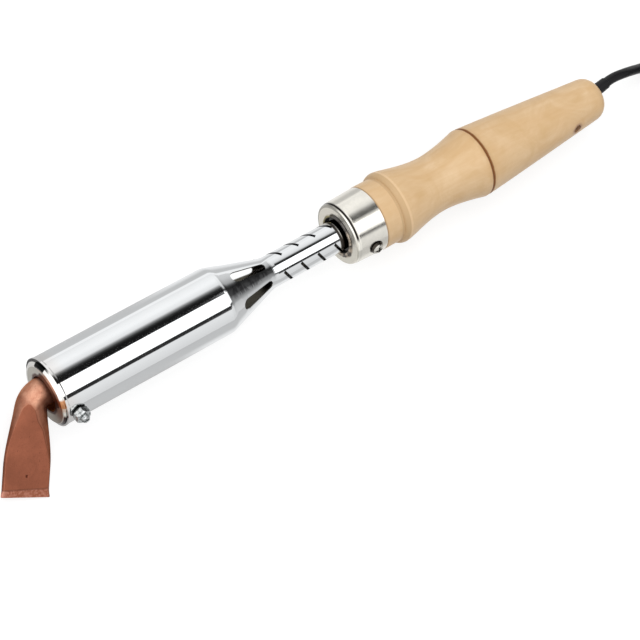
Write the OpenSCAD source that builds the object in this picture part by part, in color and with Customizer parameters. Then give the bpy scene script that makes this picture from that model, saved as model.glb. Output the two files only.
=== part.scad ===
// Electric soldering iron with a steel barrel, a pierced neck and a wooden handle.
// Sizes are in millimetres. The tool's axis runs along X with the bit towards -X.
// It lies on a flat surface at Z = 0, on the handle's bead and the blade's corner.

/* [Copper bit] */
// Radius of the round shank
shank_r = 6.6; // [5.5:0.1:7.2]
// Gap between the shank's end and the rear disc
shank_gap = 5.5; // [3:0.5:24]
// How far ahead of the mouth the shank's axis meets the blade's axis
bend_ahead = 6.9; // [6.5:0.1:12]
// Angle between the shank and the blade
bend_angle = 63; // [45:1:75]
// Radius of the bend along its middle line
bend_r = 8; // [7:0.5:9]
// Length of the blade from the bend's corner to its working edge
blade_len = 43.8; // [36:0.2:52]
// Width of the blade at its working edge
blade_w = 22.2; // [17:0.2:26]
// Distance from the start of the bend over which the forging spreads to that width
spread_len = 34; // [28:1:42]
// Thickness that the rounded blade would have without its hammered flats
crown_t = 7.2; // [6:0.2:9]
// Distance over which the rounded blade thins to that
crown_len = 26; // [22:1:34]
// Thickness of the blade between its two flats
blade_t = 2.4; // [2:0.1:4]
// Distance from the bend's corner at which the flats reach that thickness
flat_run = 28; // [22:1:32]
// How far the flats start above the shank's surface
flat_lift = 0.9; // [0.5:0.1:1.5]
// Sideways tilt with which the flats start
flat_tilt = 26; // [0:1:30]
// Thickness left at the working edge
edge_t = 1; // [0.8:0.1:1.6]
// Length of the bevel ground behind the working edge
bevel_len = 3.6; // [2:0.2:6]
// Angle by which the working edge is ground out of square
edge_skew = -0.5; // [-4:0.5:4]
// How far the bevel is splayed out on each side at the working edge
edge_flare = 0.4; // [0:0.1:0.8]

/* [Barrel] */
// Outer radius of the barrel
barrel_r = 16.1; // [15.5:0.1:18]
// Thickness of the barrel's wall
barrel_wall = 1; // [0.8:0.1:1.4]
// Length of the straight barrel
barrel_len = 89.4; // [80:0.2:100]
// How far the rim at the mouth stands out
rim_out = 0.25; // [0.1:0.05:0.5]
// Length of the cone behind the barrel
cone_len = 28; // [26:0.2:34]
// Number of vent windows in the cone
window_n = 6; // [4:1:7]
// Angle that a window takes of the circle
window_arc = 23; // [14:1:30]
// Angle of the first window
window_turn = 51.5; // [40:0.5:70]
// Distance of a window from the front end of the cone
window_inset = 6; // [5:0.1:8]
// Distance of a window from the rear end of the cone
window_rear = 2.4; // [2:0.1:5]

/* [Neck] */
// Outer radius of the neck
neck_r = 7.5; // [7.3:0.1:8.6]
// Thickness of the neck's wall
neck_wall = 0.8; // [0.6:0.1:1.1]
// Length of the neck between the cone and the ferrule
neck_len = 40.1; // [38:0.1:48]
// Radius of the flange that holds the neck in the ferrule
flange_r = 12.5; // [10.5:0.1:13.6]
// Thickness of that flange
flange_t = 1.5; // [1:0.1:2]
// Number of slits in a row along the neck
slit_n = 4; // [2:1:4]
// Number of rows of slits round the neck
slit_rows = 3; // [2:1:3]
// Distance of the first slit behind the cone
slit_back = 7.4; // [6:0.1:8]
// Distance between slits along the neck
slit_pitch = 9.45; // [7:0.05:9.6]
// Width of a slit
slit_w = 0.9; // [0.6:0.1:1.4]
// Length of a slit
slit_len = 8.4; // [5:0.1:9]
// Slant of a slit
slit_slant = 31; // [10:1:40]
// Angle of the first row of slits
slit_turn = 33; // [20:1:45]
// How far each row of slits sits ahead of the row before
slit_step = 1.5; // [0:0.1:1.6]

/* [Heater] */
// How far the nose ring stands out of the mouth
nose_out = 1.5; // [1:0.1:1.8]
// Bevel round the nose ring's face
nose_edge = 1; // [0.5:0.1:1.4]
// Length of the nose ring
nose_len = 11.5; // [10:0.1:13]
// Play between the shank and its bore
shank_play = 2; // [1:0.1:2.2]
// Wall of the core tube
core_wall = 0.8; // [0.6:0.1:1]
// How deep the core tube sits in the nose ring and in the rear disc
core_seat = 2; // [1:0.1:3]
// Thickness of the mica wrap on the core tube
mica_t = 0.5; // [0.3:0.1:0.6]
// Diameter of the resistance wire
wire_d = 0.9; // [0.7:0.1:1]
// Number of turns of resistance wire
wire_turns = 14; // [8:1:16]
// Thickness of the outer insulating wrap
outer_wrap_t = 1; // [0.6:0.1:1.2]
// Thickness of the rear disc
disc_t = 3; // [2.6:0.1:4]

/* [Clamp screw] */
// Angle at which the clamp and cord screws stand
screw_turn = 31; // [20:1:45]
// Distance of the clamp screw behind the mouth
clamp_back = 5.6; // [5:0.1:6.5]
// Radius of the clamp screw
clamp_r = 2; // [1.5:0.1:2.4]
// How far the clamp screw stands out of its nut
clamp_out = 2.6; // [1:0.1:3]
// Width of the lock nut across its flats
nut_w = 7; // [6:0.1:8]
// Height of the lock nut
nut_h = 2.8; // [2:0.1:4]
// Gap between the lock nut and the barrel
nut_gap = 0.15; // [0.1:0.05:0.3]
// Running clearance of the clamp screw in its threads
thread_gap = 0.06; // [0.03:0.01:0.1]
// Gap between the clamp screw's end and the shank
clamp_gap = 0.2; // [0.1:0.05:0.4]

/* [Ferrule] */
// Outer radius of the ferrule behind its front edge
ferrule_r = 15.4; // [15:0.1:16]
// Outer radius of the ferrule at its rear
ferrule_rear_r = 15.9; // [15.9:0.1:16.3]
// Length of the ferrule
ferrule_len = 17; // [14:0.1:22]
// Thickness of the ferrule's sheet
ferrule_t = 0.9; // [0.6:0.1:1.2]
// Rounding of the ferrule's front edge
ferrule_edge = 1; // [0.8:0.1:1.4]
// How much narrower the ferrule is at that edge
ferrule_nose = 0.6; // [0.3:0.1:0.8]
// Gap between the neck and the ferrule's hole
ferrule_gap = 1.2; // [0.6:0.1:1.4]
// Radius of the section of the rolled lip round the hole
lip_r = 0.9; // [0.6:0.1:1.4]
// Radius of the ferrule screws' heads
head_r = 3.1; // [2.4:0.1:3.3]
// Height of the ferrule screws' heads
head_h = 2.3; // [1.6:0.1:2.6]
// Radius of the ferrule screws' shanks
fix_r = 1.3; // [1:0.1:1.6]
// Length of the ferrule screws under the head
fix_len = 5.2; // [4:0.1:5.4]
// Distance of the ferrule screws ahead of the ferrule's rear edge
fix_back = 6.6; // [5:0.1:8]

/* [Handle] */
// Length of the visible handle
handle_len = 139.5; // [130:0.5:160]
// Radius of the collar behind the ferrule
collar_r = 16; // [15.9:0.1:16.6]
// Length of that collar
collar_len = 9.7; // [8:0.1:12]
// Radius of the bead
bead_r = 17.65; // [17:0.05:19]
// Distance from the bead's front to its crest
crest_back = 3; // [2:0.1:5]
// Radius of the waist
waist_r = 13.6; // [13:0.05:15]
// Distance of the waist behind the ferrule
waist_back = 38.5; // [36:0.5:42]
// Radius of the swell behind the waist
swell_r = 17.1; // [16:0.05:17.6]
// Distance of the burnt groove behind the ferrule
groove_back = 62.2; // [58:0.1:68]
// Width of the burnt groove
groove_w = 1.5; // [1:0.1:2.5]
// Depth of the burnt groove
groove_deep = 0.8; // [0.4:0.1:1.2]
// Radius of the handle near its rear end
tail_r = 11; // [10.6:0.1:12.5]
// Rounding of the handle's rear end
tail_round = 6.4; // [3:0.1:7]
// Radius of the hollow for the terminal block
hollow_r = 9.5; // [9.3:0.1:10]
// Length of the hollow behind the ferrule's face
hollow_len = 86; // [80:0.5:95]
// Distance of the cord screw ahead of the handle's rear end
cord_screw_back = 21.5; // [19:0.5:26]
// Radius of the hole for the cord screw
cord_screw_hole = 2.1; // [2:0.1:2.6]
// Radius of the cord screw
cord_screw_r = 1.9; // [1.5:0.1:2]
// Length of the cord screw
cord_screw_len = 5; // [3:0.1:5.5]
// Thickness of the fibre pad under the cord screw
pad_t = 1.4; // [0.8:0.1:2]

/* [Wiring] */
// Radius of the lead wires
lead_r = 0.6; // [0.4:0.05:0.7]
// Distance of each lead wire from the tool's axis in the neck
lead_side = 3.4; // [2.6:0.1:3.8]
// Outer radius of the lead wires' sleeves
lead_sleeve_r = 1.7; // [1.2:0.1:2]
// Length of the terminal block
block_len = 20; // [16:0.5:24]
// Width of the terminal block
block_w = 14; // [12:0.5:14]
// Height of the terminal block
block_h = 10; // [8:0.5:11]
// Distance of the terminal block behind the ferrule's face
block_back = 54; // [50:0.5:58]
// Radius of the terminal screws' heads
term_r = 1.8; // [1.4:0.1:2.2]
// Distance between the screws of one terminal
term_pitch = 10; // [8:0.5:12]
// Length of the bared cores
core_bare = 8; // [5:0.5:9]

/* [Cord] */
// Diameter of the cord
cord_d = 4.8; // [4.4:0.1:5]
// Radius of the rubber sleeve in the handle
sleeve_r = 3.1; // [2.9:0.1:3.6]
// Radius of the rubber sleeve at its outer end
sleeve_end_r = 2.85; // [2.7:0.05:3.2]
// Sideways slant of the sleeve and the hole it sits in
exit_slant = 8; // [0:0.5:9]
// Length of the sleeve inside the handle
sleeve_in = 11; // [11:0.5:14]
// Length of the sleeve outside the handle
sleeve_out = 9; // [7:0.5:10]
// Mean radius of the coil
coil_r = 24.6; // [24:0.1:28]
// Number of turns in each layer of the coil
layer_turns = 1.75; // [1.25:0.5:1.75]
// Distance between turns, side by side and layer on layer
coil_pitch = 5.4; // [5.3:0.1:6]
// Width of the tie round the coil
tie_w = 6; // [4:0.5:10]
// Thickness of the tie
tie_t = 0.8; // [0.5:0.1:1.5]

/* [Plug] */
// Width of the plug's body across its two pins
plug_w = 34; // [32:0.5:36]
// Thickness of the plug's body
plug_t = 13.6; // [12.5:0.1:14]
// Length of the plug's body
plug_len = 33; // [30:0.5:38]
// Length of the tapered strain relief
relief_len = 20; // [20:0.5:24]
// Radius of the strain relief at the cord
relief_r = 3.4; // [3:0.1:4]
// Radius of a plug pin
pin_r = 2; // [1.9:0.05:2.4]
// Length of a plug pin outside the body
pin_len = 19; // [17:0.5:19]
// Distance between the plug pins
pin_pitch = 19; // [18:0.5:19]
// How deep a plug pin's root sits in the body
pin_in = 12; // [8:0.5:14]
// Radius of a plug pin's root
root_r = 2.6; // [2.5:0.1:3]

/* [Hidden] */
$fn = 64;
eps = 0.01;
bit_steps = 30;
side_steps = 5;

// Stations along the tool's axis, counted from the barrel's mouth.
neck_x = barrel_len + cone_len;
ferrule_x = neck_x + neck_len;
flange_x = ferrule_x + ferrule_t;
spigot_x = flange_x + flange_t;
collar_x = ferrule_x + ferrule_len;
handle_x = collar_x + handle_len;
hollow_x = ferrule_x + hollow_len;
block_x = ferrule_x + block_back;
nose_x = nose_len - nose_out;
disc_x = barrel_len - 1.5 - disc_t;
cord_screw_x = handle_x - cord_screw_back;

// Radii that follow from the pieces they fit.
inner_r = barrel_r - barrel_wall;
bore_r = shank_r + shank_play;
core_r = bore_r + core_wall;
mica_r = core_r + mica_t;
wind_rings = 14;
wind_r = (mica_r + wire_d / 2 + 0.03) / cos(180 / wind_rings);
back_r = wind_r + wire_d + 0.3;
wrap_r = back_r + wire_d / 2 + 0.2;
spigot_r = ferrule_r - ferrule_t;
cord_r = cord_d / 2;
axis_z = bead_r;

// The clamp screw pushes the shank against the far side of its loose bore.
shank_off = shank_play - 0.1;
shank_y = shank_off * cos(screw_turn);
shank_z = -shank_off * sin(screw_turn);

// The blade's middle line, in the plane of the bend: straight ahead, round the bend, then straight.
bend_cut = bend_r * tan(bend_angle / 2);
arc_len = bend_r * bend_angle * PI / 180;
start_x = -(bend_ahead - bend_cut);
line_len = arc_len + blade_len - bend_cut;
function turn_at(s) = min(max(s, 0), arc_len) / arc_len * bend_angle;
function mid_at(s) =
    s <= arc_len
    ? [start_x - bend_r * sin(turn_at(s)), bend_r * (cos(turn_at(s)) - 1)]
    : mid_at(arc_len) - (s - arc_len) * [cos(bend_angle), sin(bend_angle)];

// Half width and half thickness of the rounded forging along that line.
function ease(t) = let(u = min(max(t, 0), 1)) u * u * (3 - 2 * u);
function blend(a, b, t) = a + (b - a) * t;
function half_w(s) =
    blend(shank_r, blade_w / 2, ease(s / spread_len)) + edge_flare * max(0, 1 - (line_len - s) / bevel_len);
function half_t(s) = blend(shank_r, crown_t / 2, ease((s - 6) / crown_len));

// A flat is hammered into the front and one into the back. Each starts tilted and clear of the
// shank and closes in along the blade: its height over the middle line is flat_h + w * flat_b.
function along(s) = s - arc_len + bend_cut;
function flat_h(c) = blend(shank_r + flat_lift, blade_t / 2, ease(c / flat_run));
function flat_b(c) = -tan(flat_tilt * (1 - min(max(c / (flat_run - 1), 0), 1)));
// The angles at which a flat meets the rounded section, or a narrow strip where it misses it.
function flat_ends(w, t, h, b) =
    let(
        q = b * b + t * t / w / w, d = h * h * b * b - q * (h * h - t * t),
        half = sqrt(max(d, 0)) / q,
        a0 = asin(min(max((-h * b / q - half) / w, -1), 1)),
        a1 = asin(min(max((-h * b / q + half) / w, -1), 1)),
        m = atan2(-b * w, t)
    )
    a1 - a0 < 5 ? [m - 2.5, m + 2.5] : [a0, a1];
function bevel_at(s) = s > line_len - bevel_len ? blend(1, edge_t / blade_t, (s - line_len + bevel_len) / bevel_len) : 1;

// One ring of the forging: round side, flat, round side, and the same again behind.
function ring_front(s) =
    let(
        w = half_w(s), t = half_t(s), k = bevel_at(s),
        e = flat_ends(w, t, flat_h(along(s)), flat_b(along(s))),
        p0 = [w * sin(e[1]), k * t * cos(e[1])], p1 = [w * sin(e[0]), k * t * cos(e[0])]
    )
    concat(
        [for (i = [0:side_steps]) let(a = blend(90, e[1], i / side_steps)) [w * sin(a), k * t * cos(a)]],
        [for (i = [1:2]) p0 + (p1 - p0) * i / 3],
        [for (i = [0:side_steps - 1]) let(a = blend(e[0], -90, i / side_steps)) [w * sin(a), k * t * cos(a)]]
    );
function ring_2d(s) = let(f = ring_front(s)) concat(f, -f);
function ring_at(s, skew = 0) =
    let(m = mid_at(s), a = turn_at(s), k = tan(skew))
    [for (p = ring_2d(s)) [m.x - p.x * (sin(a) + k * cos(a)), m.y + p.x * (cos(a) - k * sin(a)), p.y]];
function lead_ring(x) = [
    for (p = ring_2d(0)) [x, p.x * (1 - 0.1 / shank_r), p.y * (1 - 0.1 / shank_r)]
];
bit_rings = concat(
    [lead_ring(start_x + 5), ring_at(0)],
    [for (i = [1:bit_steps]) ring_at((line_len - bevel_len) * i / bit_steps)],
    [ring_at(line_len - bevel_len / 2, edge_skew / 2), ring_at(line_len, edge_skew)]
);

// The bit is turned about the shank until the blade's lower corner rests on the table.
rest_h = axis_z + shank_z;
bit_turn = min([
    for (r = bit_rings)
        for (p = r)
            let(d = -p.y, n = -p.z, far = norm([d, n]))
            if (n > 0 && d > rest_h) asin(rest_h / far) - atan(n / d)
]);
function to_tool(p) = [
    p.x,
    shank_y + p.y * cos(bit_turn) - p.z * sin(bit_turn),
    shank_z + p.y * sin(bit_turn) + p.z * cos(bit_turn)
];
bit_pts = [for (r = bit_rings) for (p = r) to_tool(p)];

// The frame: the origin is under the middle of the tool's box, at the table.
low_x = min([for (p = bit_pts) p.x]);
low_y = min([for (p = bit_pts) p.y]);
mid_x = (low_x + handle_x) / 2;
mid_y = (low_y + bead_r) / 2;

// Points of a path with its corners rounded, where each point is [x, r, rounding].
function unit(v) = v / norm(v);
function turned_by(v, a) = [v.x * cos(a) - v.y * sin(a), v.x * sin(a) + v.y * cos(a)];
function round_corner(p, q, s, r, n) =
    let(
        a = unit(p - q), b = unit(s - q), half = acos(a * b) / 2, cut = r / tan(half),
        c = q + unit(a + b) * r / sin(half), v = q + a * cut - c,
        way = sign(a.x * b.y - a.y * b.x)
    )
    [for (i = [0:n]) c + turned_by(v, -way * (180 - 2 * half) * i / n)];
function rounded(pts, n = 6) = [
    for (i = [0:len(pts) - 1])
        let(q = [pts[i][0], pts[i][1]])
        each (
            pts[i][2] == 0 || i == 0 || i == len(pts) - 1
            ? [q]
            : round_corner(
                [pts[i - 1][0], pts[i - 1][1]], q, [pts[i + 1][0], pts[i + 1][1]], pts[i][2], n
            )
        )
];

// A skin over rings of points, each ring with as many points, closed at both ends.
function skin_faces(rings, n) = concat(
    [for (k = [0:rings - 2]) for (j = [0:n - 1]) let(a = k * n + j, b = k * n + (j + 1) % n) [a, b, b + n]],
    [for (k = [0:rings - 2]) for (j = [0:n - 1]) let(a = k * n + j, b = k * n + (j + 1) % n) [a, b + n, a + n]],
    [for (j = [1:n - 2]) [0, j + 1, j]],
    [for (j = [1:n - 2]) let(e = (rings - 1) * n) [e, e + j, e + j + 1]]
);
function flipped(faces) = [for (f = faces) [f[2], f[1], f[0]]];
module skin(rings, flip = false) {
    n = len(rings[0]);
    faces = skin_faces(len(rings), n);
    polyhedron([for (r = rings) each r], flip ? flipped(faces) : faces, convexity = 6);
}

// A round tube along a path. Its section is carried along without twisting.
function path_dir(p, i) =
    i == 0 ? unit(p[1] - p[0])
    : i == len(p) - 1 ? unit(p[i] - p[i - 1])
    : unit(unit(p[i + 1] - p[i]) + unit(p[i] - p[i - 1]));
function square_to(t, u) = unit(u - t * (u * t));
function sides(p, up) = [
    for (
        i = 0, u = square_to(path_dir(p, 0), up);
        i < len(p);
        u = square_to(path_dir(p, min(i + 1, len(p) - 1)), u), i = i + 1
    ) u
];
function tube_rings(p, r, n, up) =
    let(us = sides(p, up))
    [
        for (i = [0:len(p) - 1])
            let(u = us[i], v = cross(path_dir(p, i), u))
            [for (j = [0:n - 1]) p[i] + r * (u * cos(360 * j / n) + v * sin(360 * j / n))]
    ];
module tube(p, r, n = 8, up = [0, 0, 1]) {
    skin(tube_rings(p, r, n, up));
}

// The winding: back along the wrap, down onto the mica, then turn by turn to the rear.
wind_start = nose_x + 6;
wind_end = disc_x - 5;
wind_steps = (wire_turns + 0.5) * wind_rings;
wind_pts = concat(
    [[disc_x, 0, back_r], [wind_start + 8, 0, back_r], [wind_start, 0, back_r], [wind_start - 1.8, 0, back_r - 0.6]],
    [
        for (i = [2:wind_steps])
            let(
                a = 360 * i / wind_rings, s = i / wind_steps,
                r = blend(back_r - 0.6, wind_r, ease(i / 6))
            )
            [wind_start - 1.8 + (wind_end - wind_start) * s, r * sin(a), r * cos(a)]
    ],
    [[wind_end - 0.9, -1.1, -wind_r], [wind_end + 0.2, -1.4, -wind_r], [disc_x - 2, -0.3, -wind_r], [disc_x, 0, -wind_r]]
);

// The lead wires: from the rear disc through the cone and the neck to the terminal block.
disc_rear = disc_x + disc_t;
lead_top = [
    [disc_rear - disc_t, 0, back_r],
    [disc_rear + 3, 0, back_r],
    [disc_rear + 16, lead_side * 0.6, lead_side * 0.9],
    [neck_x - 4, lead_side, 0],
    [block_x + 4, lead_side, 0]
];
lead_low = [
    [disc_rear - disc_t, 0, -wind_r],
    [disc_rear + 3, 0, -wind_r],
    [disc_rear + 16, -lead_side * 0.6, -lead_side * 0.9],
    [neck_x - 4, -lead_side, 0],
    [block_x + 4, -lead_side, 0]
];

// The cord's route on the table, in round numbers: X from the mouth, Y from the axis, Z from the table.
sleeve_x = handle_x - sleeve_in;
sleeve_len = sleeve_in + sleeve_out;
exit_way = [cos(exit_slant), sin(exit_slant), 0];
exit_from = [sleeve_x, 0, axis_z];
exit_to = exit_from + exit_way * sleeve_len;
coil_mid = [388, -27, 0];
coil_low = cord_r + tie_t + 0.3;
layer_n = 4;
loop_rings = 24;
coil_turns = layer_n * layer_turns;
coil_amp = coil_pitch * layer_turns / 2;
function layer_of(t) = floor(min(t / layer_turns, layer_n - eps));
function zigzag(t) =
    let(k = layer_of(t), u = (t - k * layer_turns) / layer_turns)
    k % 2 == 0 ? 1 - 2 * u : 2 * u - 1;
function climb(t) =
    let(k = round(t / layer_turns), u = (t - k * layer_turns) / 0.5 + 0.5)
    k <= 0 ? 0 : k >= layer_n ? layer_n - 1 : k - 1 + ease(u);
function coil_pt(t) =
    let(r = coil_r + coil_amp * zigzag(t), a = 90 - 360 * t)
    coil_mid + [r * cos(a), r * sin(a), coil_low + coil_pitch * climb(t)];
coil_line = [for (i = [0:coil_turns * loop_rings]) coil_pt(i / loop_rings)];
coil_in = coil_line[0];
coil_out = coil_line[len(coil_line) - 1];
coil_pts = concat(
    [coil_in - [cord_d, 0, 0]],
    coil_line,
    [coil_out + [cord_d, 0, 0]]
);
coil_gap = min([
    for (i = [0:len(coil_line) - 1])
        for (j = [i + loop_rings / 2:len(coil_line) - 1])
            norm(coil_line[i] - coil_line[j])
]) - cord_d;
echo(coil_least_gap = coil_gap);
function path_len(p) = [for (i = [1:len(p) - 1]) norm(p[i] - p[i - 1])] * [for (i = [1:len(p) - 1]) 1];

cord_pts = [
    exit_from,
    exit_to,
    exit_to + 5 * exit_way - [0, 0.3, 0.3],
    [335, 2.7, 16.2],
    [343, 2, 12.3],
    [351, 1.2, 8],
    [359, 0.8, 5.2],
    [367, 1.6, 3.9],
    coil_pts[0] - [8, 0, 0],
    coil_pts[0]
];

// The plug lies behind the coil with its pins pointing away.
plug_rear = [428, 1, plug_t / 2];
end_pts = [
    coil_pts[len(coil_pts) - 1],
    coil_pts[len(coil_pts) - 1] + [1.5, 0, 0],
    coil_pts[len(coil_pts) - 1] + [5, 0, -0.4],
    [405, 2.2, 17],
    [412, 2, 13.2],
    [418, 1.5, 9.6],
    [423, 1.1, 7.4],
    [426, 1, plug_t / 2],
    plug_rear
];
plug_x = plug_rear.x + relief_len;

echo(cord_length = path_len(cord_pts) + path_len(coil_pts) + path_len(end_pts));

// Placing: everything is drawn from the barrel's mouth, on the axis or on the table.
module on_axis() {
    translate([-mid_x, -mid_y, axis_z]) children();
}
module on_table() {
    translate([-mid_x, -mid_y, 0]) children();
}
module turned(at = 0) {
    translate([at, 0, 0]) rotate([0, 90, 0]) children();
}
module rod(r, x0, x1) {
    translate([x0, 0, 0]) rotate([0, 90, 0]) cylinder(r = r, h = x1 - x0);
}
module slanted() {
    translate([sleeve_x, 0, 0]) rotate([0, 0, exit_slant]) children();
}
module radial(a, x) {
    translate([x, 0, 0]) rotate([90 - a, 0, 0]) children();
}

module copper_bit() {
    color([0.72, 0.42, 0.31])
    on_axis()
    translate([0, shank_y, shank_z])
    rotate([bit_turn, 0, 0]) {
        rod(shank_r, start_x + 1, disc_x - shank_gap);
        skin(bit_rings);
    }
}

// The outline of the barrel, cone, neck and flange, drawn for the outside and again for the inside.
function shell_line(inset, thin, lip, x0, x1) = rounded([
    [x0, barrel_r + lip - inset, 0],
    [1, barrel_r + lip - inset, 0],
    [1.6, barrel_r - inset, 0],
    [barrel_len, barrel_r - inset, 9],
    [neck_x, neck_r - thin, 14],
    [x1, neck_r - thin, 0]
]);
shell_out = concat(
    shell_line(0, 0, rim_out, 0, flange_x), [[flange_x, flange_r], [spigot_x, flange_r]]
);
shell_in = shell_line(barrel_wall, neck_wall, 0, 0, spigot_x);
module shell_half() {
    back = [for (i = [len(shell_in) - 1:-1:0]) shell_in[i]];
    polygon([for (p = concat(shell_out, back)) [p.y, p.x]]);
}
// A tapered slot with round ends, the narrow end towards the neck.
module window_shape() {
    x0 = barrel_len + window_inset;
    x1 = neck_x - window_rear;
    w0 = cone_r_at(x0 + 2.5) * sin(window_arc / 2);
    w1 = cone_r_at(x1 - 1.5) * sin(window_arc / 2);
    a = asin((w0 - w1) / (x1 - w1 - x0 - w0));
    n = 6;
    polygon(concat(
        [for (i = [0:n]) let(b = 90 - a + i * (180 + 2 * a) / n) [x0 + w0 + w0 * cos(b), w0 * sin(b)]],
        [for (i = [0:n]) let(b = 270 + a + i * (180 - 2 * a) / n) [x1 - w1 + w1 * cos(b), w1 * sin(b)]]
    ));
}
function cone_r_at(x) = blend(barrel_r, neck_r, (x - barrel_len) / cone_len);
module slits() {
    for (row = [0:slit_rows - 1])
        for (k = [0:slit_n - 1])
            radial(slit_turn + row * 360 / slit_rows, neck_x + slit_back + k * slit_pitch - row * slit_step)
                rotate([0, 0, slit_slant - 90])
                    translate([0, 0, neck_r - 0.9])
                        cube([slit_len, slit_w, 4], center = true);
}
module barrel() {
    color([0.86, 0.87, 0.89])
    on_axis()
    difference() {
        turned() rotate_extrude() shell_half();
        for (k = [0:window_n - 1])
            radial(window_turn + k * 360 / window_n, 0)
                linear_extrude(height = barrel_r + 2) window_shape();
        slits();
        radial(screw_turn, clamp_back) cylinder(r = clamp_r + 0.3, h = barrel_r + 2);
    }
}

module nose_ring() {
    outer = [
        [-nose_out, 0], [-nose_out, inner_r - nose_edge], [nose_edge - nose_out, inner_r], [nose_x, inner_r], [nose_x, 0]
    ];
    color([0.8, 0.77, 0.72])
    on_axis()
    difference() {
        turned() rotate_extrude() polygon([for (p = outer) [p.y, p.x]]);
        rod(bore_r, -nose_out - 1, nose_x + 1);
        rod(core_r, nose_x - core_seat, nose_x + 1);
        radial(screw_turn, clamp_back) cylinder(r = clamp_r + thread_gap, h = barrel_r);
    }
}

clamp_foot = shank_r - shank_off + clamp_gap;
nut_foot = barrel_r + nut_gap;
clamp_top = nut_foot + nut_h + clamp_out;
module clamp_screw() {
    color([0.8, 0.8, 0.78])
    on_axis()
    radial(screw_turn, clamp_back)
    difference() {
        union() {
            translate([0, 0, clamp_foot + 0.8]) cylinder(r = clamp_r, h = clamp_top - 0.4 - clamp_foot - 0.8);
            translate([0, 0, clamp_foot]) cylinder(r1 = clamp_r - 0.6, r2 = clamp_r, h = 0.8);
            translate([0, 0, clamp_top - 0.4]) cylinder(r1 = clamp_r, r2 = clamp_r - 0.4, h = 0.4);
        }
        translate([0, 0, clamp_top]) cube([3 * clamp_r, 0.8, 2], center = true);
    }
}
module clamp_nut() {
    color([0.78, 0.78, 0.76])
    on_axis()
    radial(screw_turn, clamp_back)
    translate([0, 0, nut_foot])
    difference() {
        intersection() {
            rotate([0, 0, 30]) cylinder(r = nut_w / sqrt(3), h = nut_h, $fn = 6);
            union() {
                translate([0, 0, nut_h - 0.5]) cylinder(r1 = nut_w / 2 + 0.5, r2 = nut_w / 2 - 0.1, h = 0.5);
                cylinder(r = nut_w, h = nut_h - 0.5);
            }
        }
        translate([0, 0, -1]) cylinder(r = clamp_r + thread_gap, h = nut_h + 2);
    }
}

module sleeve(r_in, r_out, x0, x1) {
    difference() {
        rod(r_out, x0, x1);
        rod(r_in, x0 - 1, x1 + 1);
    }
}
module core_tube() {
    color([0.6, 0.6, 0.6])
    on_axis()
    sleeve(bore_r, core_r, nose_x - core_seat, disc_x + core_seat);
}
module mica_wrap() {
    color([0.78, 0.7, 0.5])
    on_axis()
    sleeve(core_r, mica_r, nose_x, disc_x);
}
module heater_winding() {
    color([0.55, 0.5, 0.48])
    on_axis()
    tube(wind_pts, wire_d / 2, 6);
}
module outer_wrap() {
    color([0.82, 0.76, 0.6])
    on_axis()
    sleeve(wrap_r, wrap_r + outer_wrap_t, nose_x, disc_x);
}
module rear_disc() {
    color([0.9, 0.88, 0.82])
    on_axis()
    difference() {
        rod(inner_r, disc_x, disc_rear);
        rod(core_r, disc_x - 1, disc_x + core_seat);
        for (s = [[back_r, 0], [-wind_r, 0]])
            translate([0, 0, s[0]]) rod(lead_r + 0.1, disc_x - 1, disc_rear + 1);
    }
}

module lead_wires() {
    color([0.7, 0.66, 0.6])
    on_axis() {
        tube(lead_top, lead_r, 8, [0, 1, 0]);
        tube(lead_low, lead_r, 8, [0, 1, 0]);
    }
}
module lead_sleeves() {
    color([0.93, 0.91, 0.86])
    on_axis()
    for (s = [-1, 1])
        translate([0, s * lead_side, 0]) sleeve(lead_r, lead_sleeve_r, neck_x + 2, block_x);
}

module ferrule() {
    outer = rounded([
        [ferrule_x, 0, 0], [ferrule_x, ferrule_r - ferrule_nose, ferrule_edge],
        [ferrule_x + ferrule_edge + 1.4, ferrule_r, 3], [collar_x, ferrule_rear_r, 0], [collar_x, 0, 0]
    ]);
    color([0.8, 0.76, 0.7])
    on_axis()
    difference() {
        union() {
            turned() rotate_extrude() polygon([for (p = outer) [p.y, p.x]]);
            turned() rotate_extrude() translate([neck_r + ferrule_gap + lip_r, ferrule_x + 0.3]) circle(r = lip_r, $fn = 32);
        }
        rod(neck_r + ferrule_gap, ferrule_x - 3, collar_x);
        rod(spigot_r, flange_x, collar_x + 1);
        for (a = [screw_turn, screw_turn + 180])
            radial(a, collar_x - fix_back) cylinder(r = fix_r + 0.1, h = ferrule_r + 3);
    }
}
function ferrule_r_at(x) =
    blend(ferrule_r, ferrule_rear_r, (x - ferrule_x - ferrule_edge - 1.4) / (ferrule_len - ferrule_edge - 1.4));
head_foot = ferrule_r_at(collar_x - fix_back + head_r) + 0.02;
module ferrule_screws() {
    color([0.8, 0.78, 0.74])
    on_axis()
    for (a = [screw_turn, screw_turn + 180])
        radial(a, collar_x - fix_back)
        translate([0, 0, head_foot])
        difference() {
            union() {
                cylinder(r1 = head_r, r2 = head_r - 0.3, h = head_h / 2);
                translate([0, 0, head_h / 2]) cylinder(r1 = head_r - 0.3, r2 = head_r - 1.4, h = head_h / 2);
                translate([0, 0, 1.2 - fix_len]) cylinder(r = fix_r, h = fix_len);
                translate([0, 0, -fix_len]) cylinder(r1 = 0.3, r2 = fix_r, h = 1.2);
            }
            translate([0, 0, head_h]) cube([2.8, 0.7, 1.8], center = true);
            translate([0, 0, head_h]) cube([0.7, 2.8, 1.8], center = true);
        }
}

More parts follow.
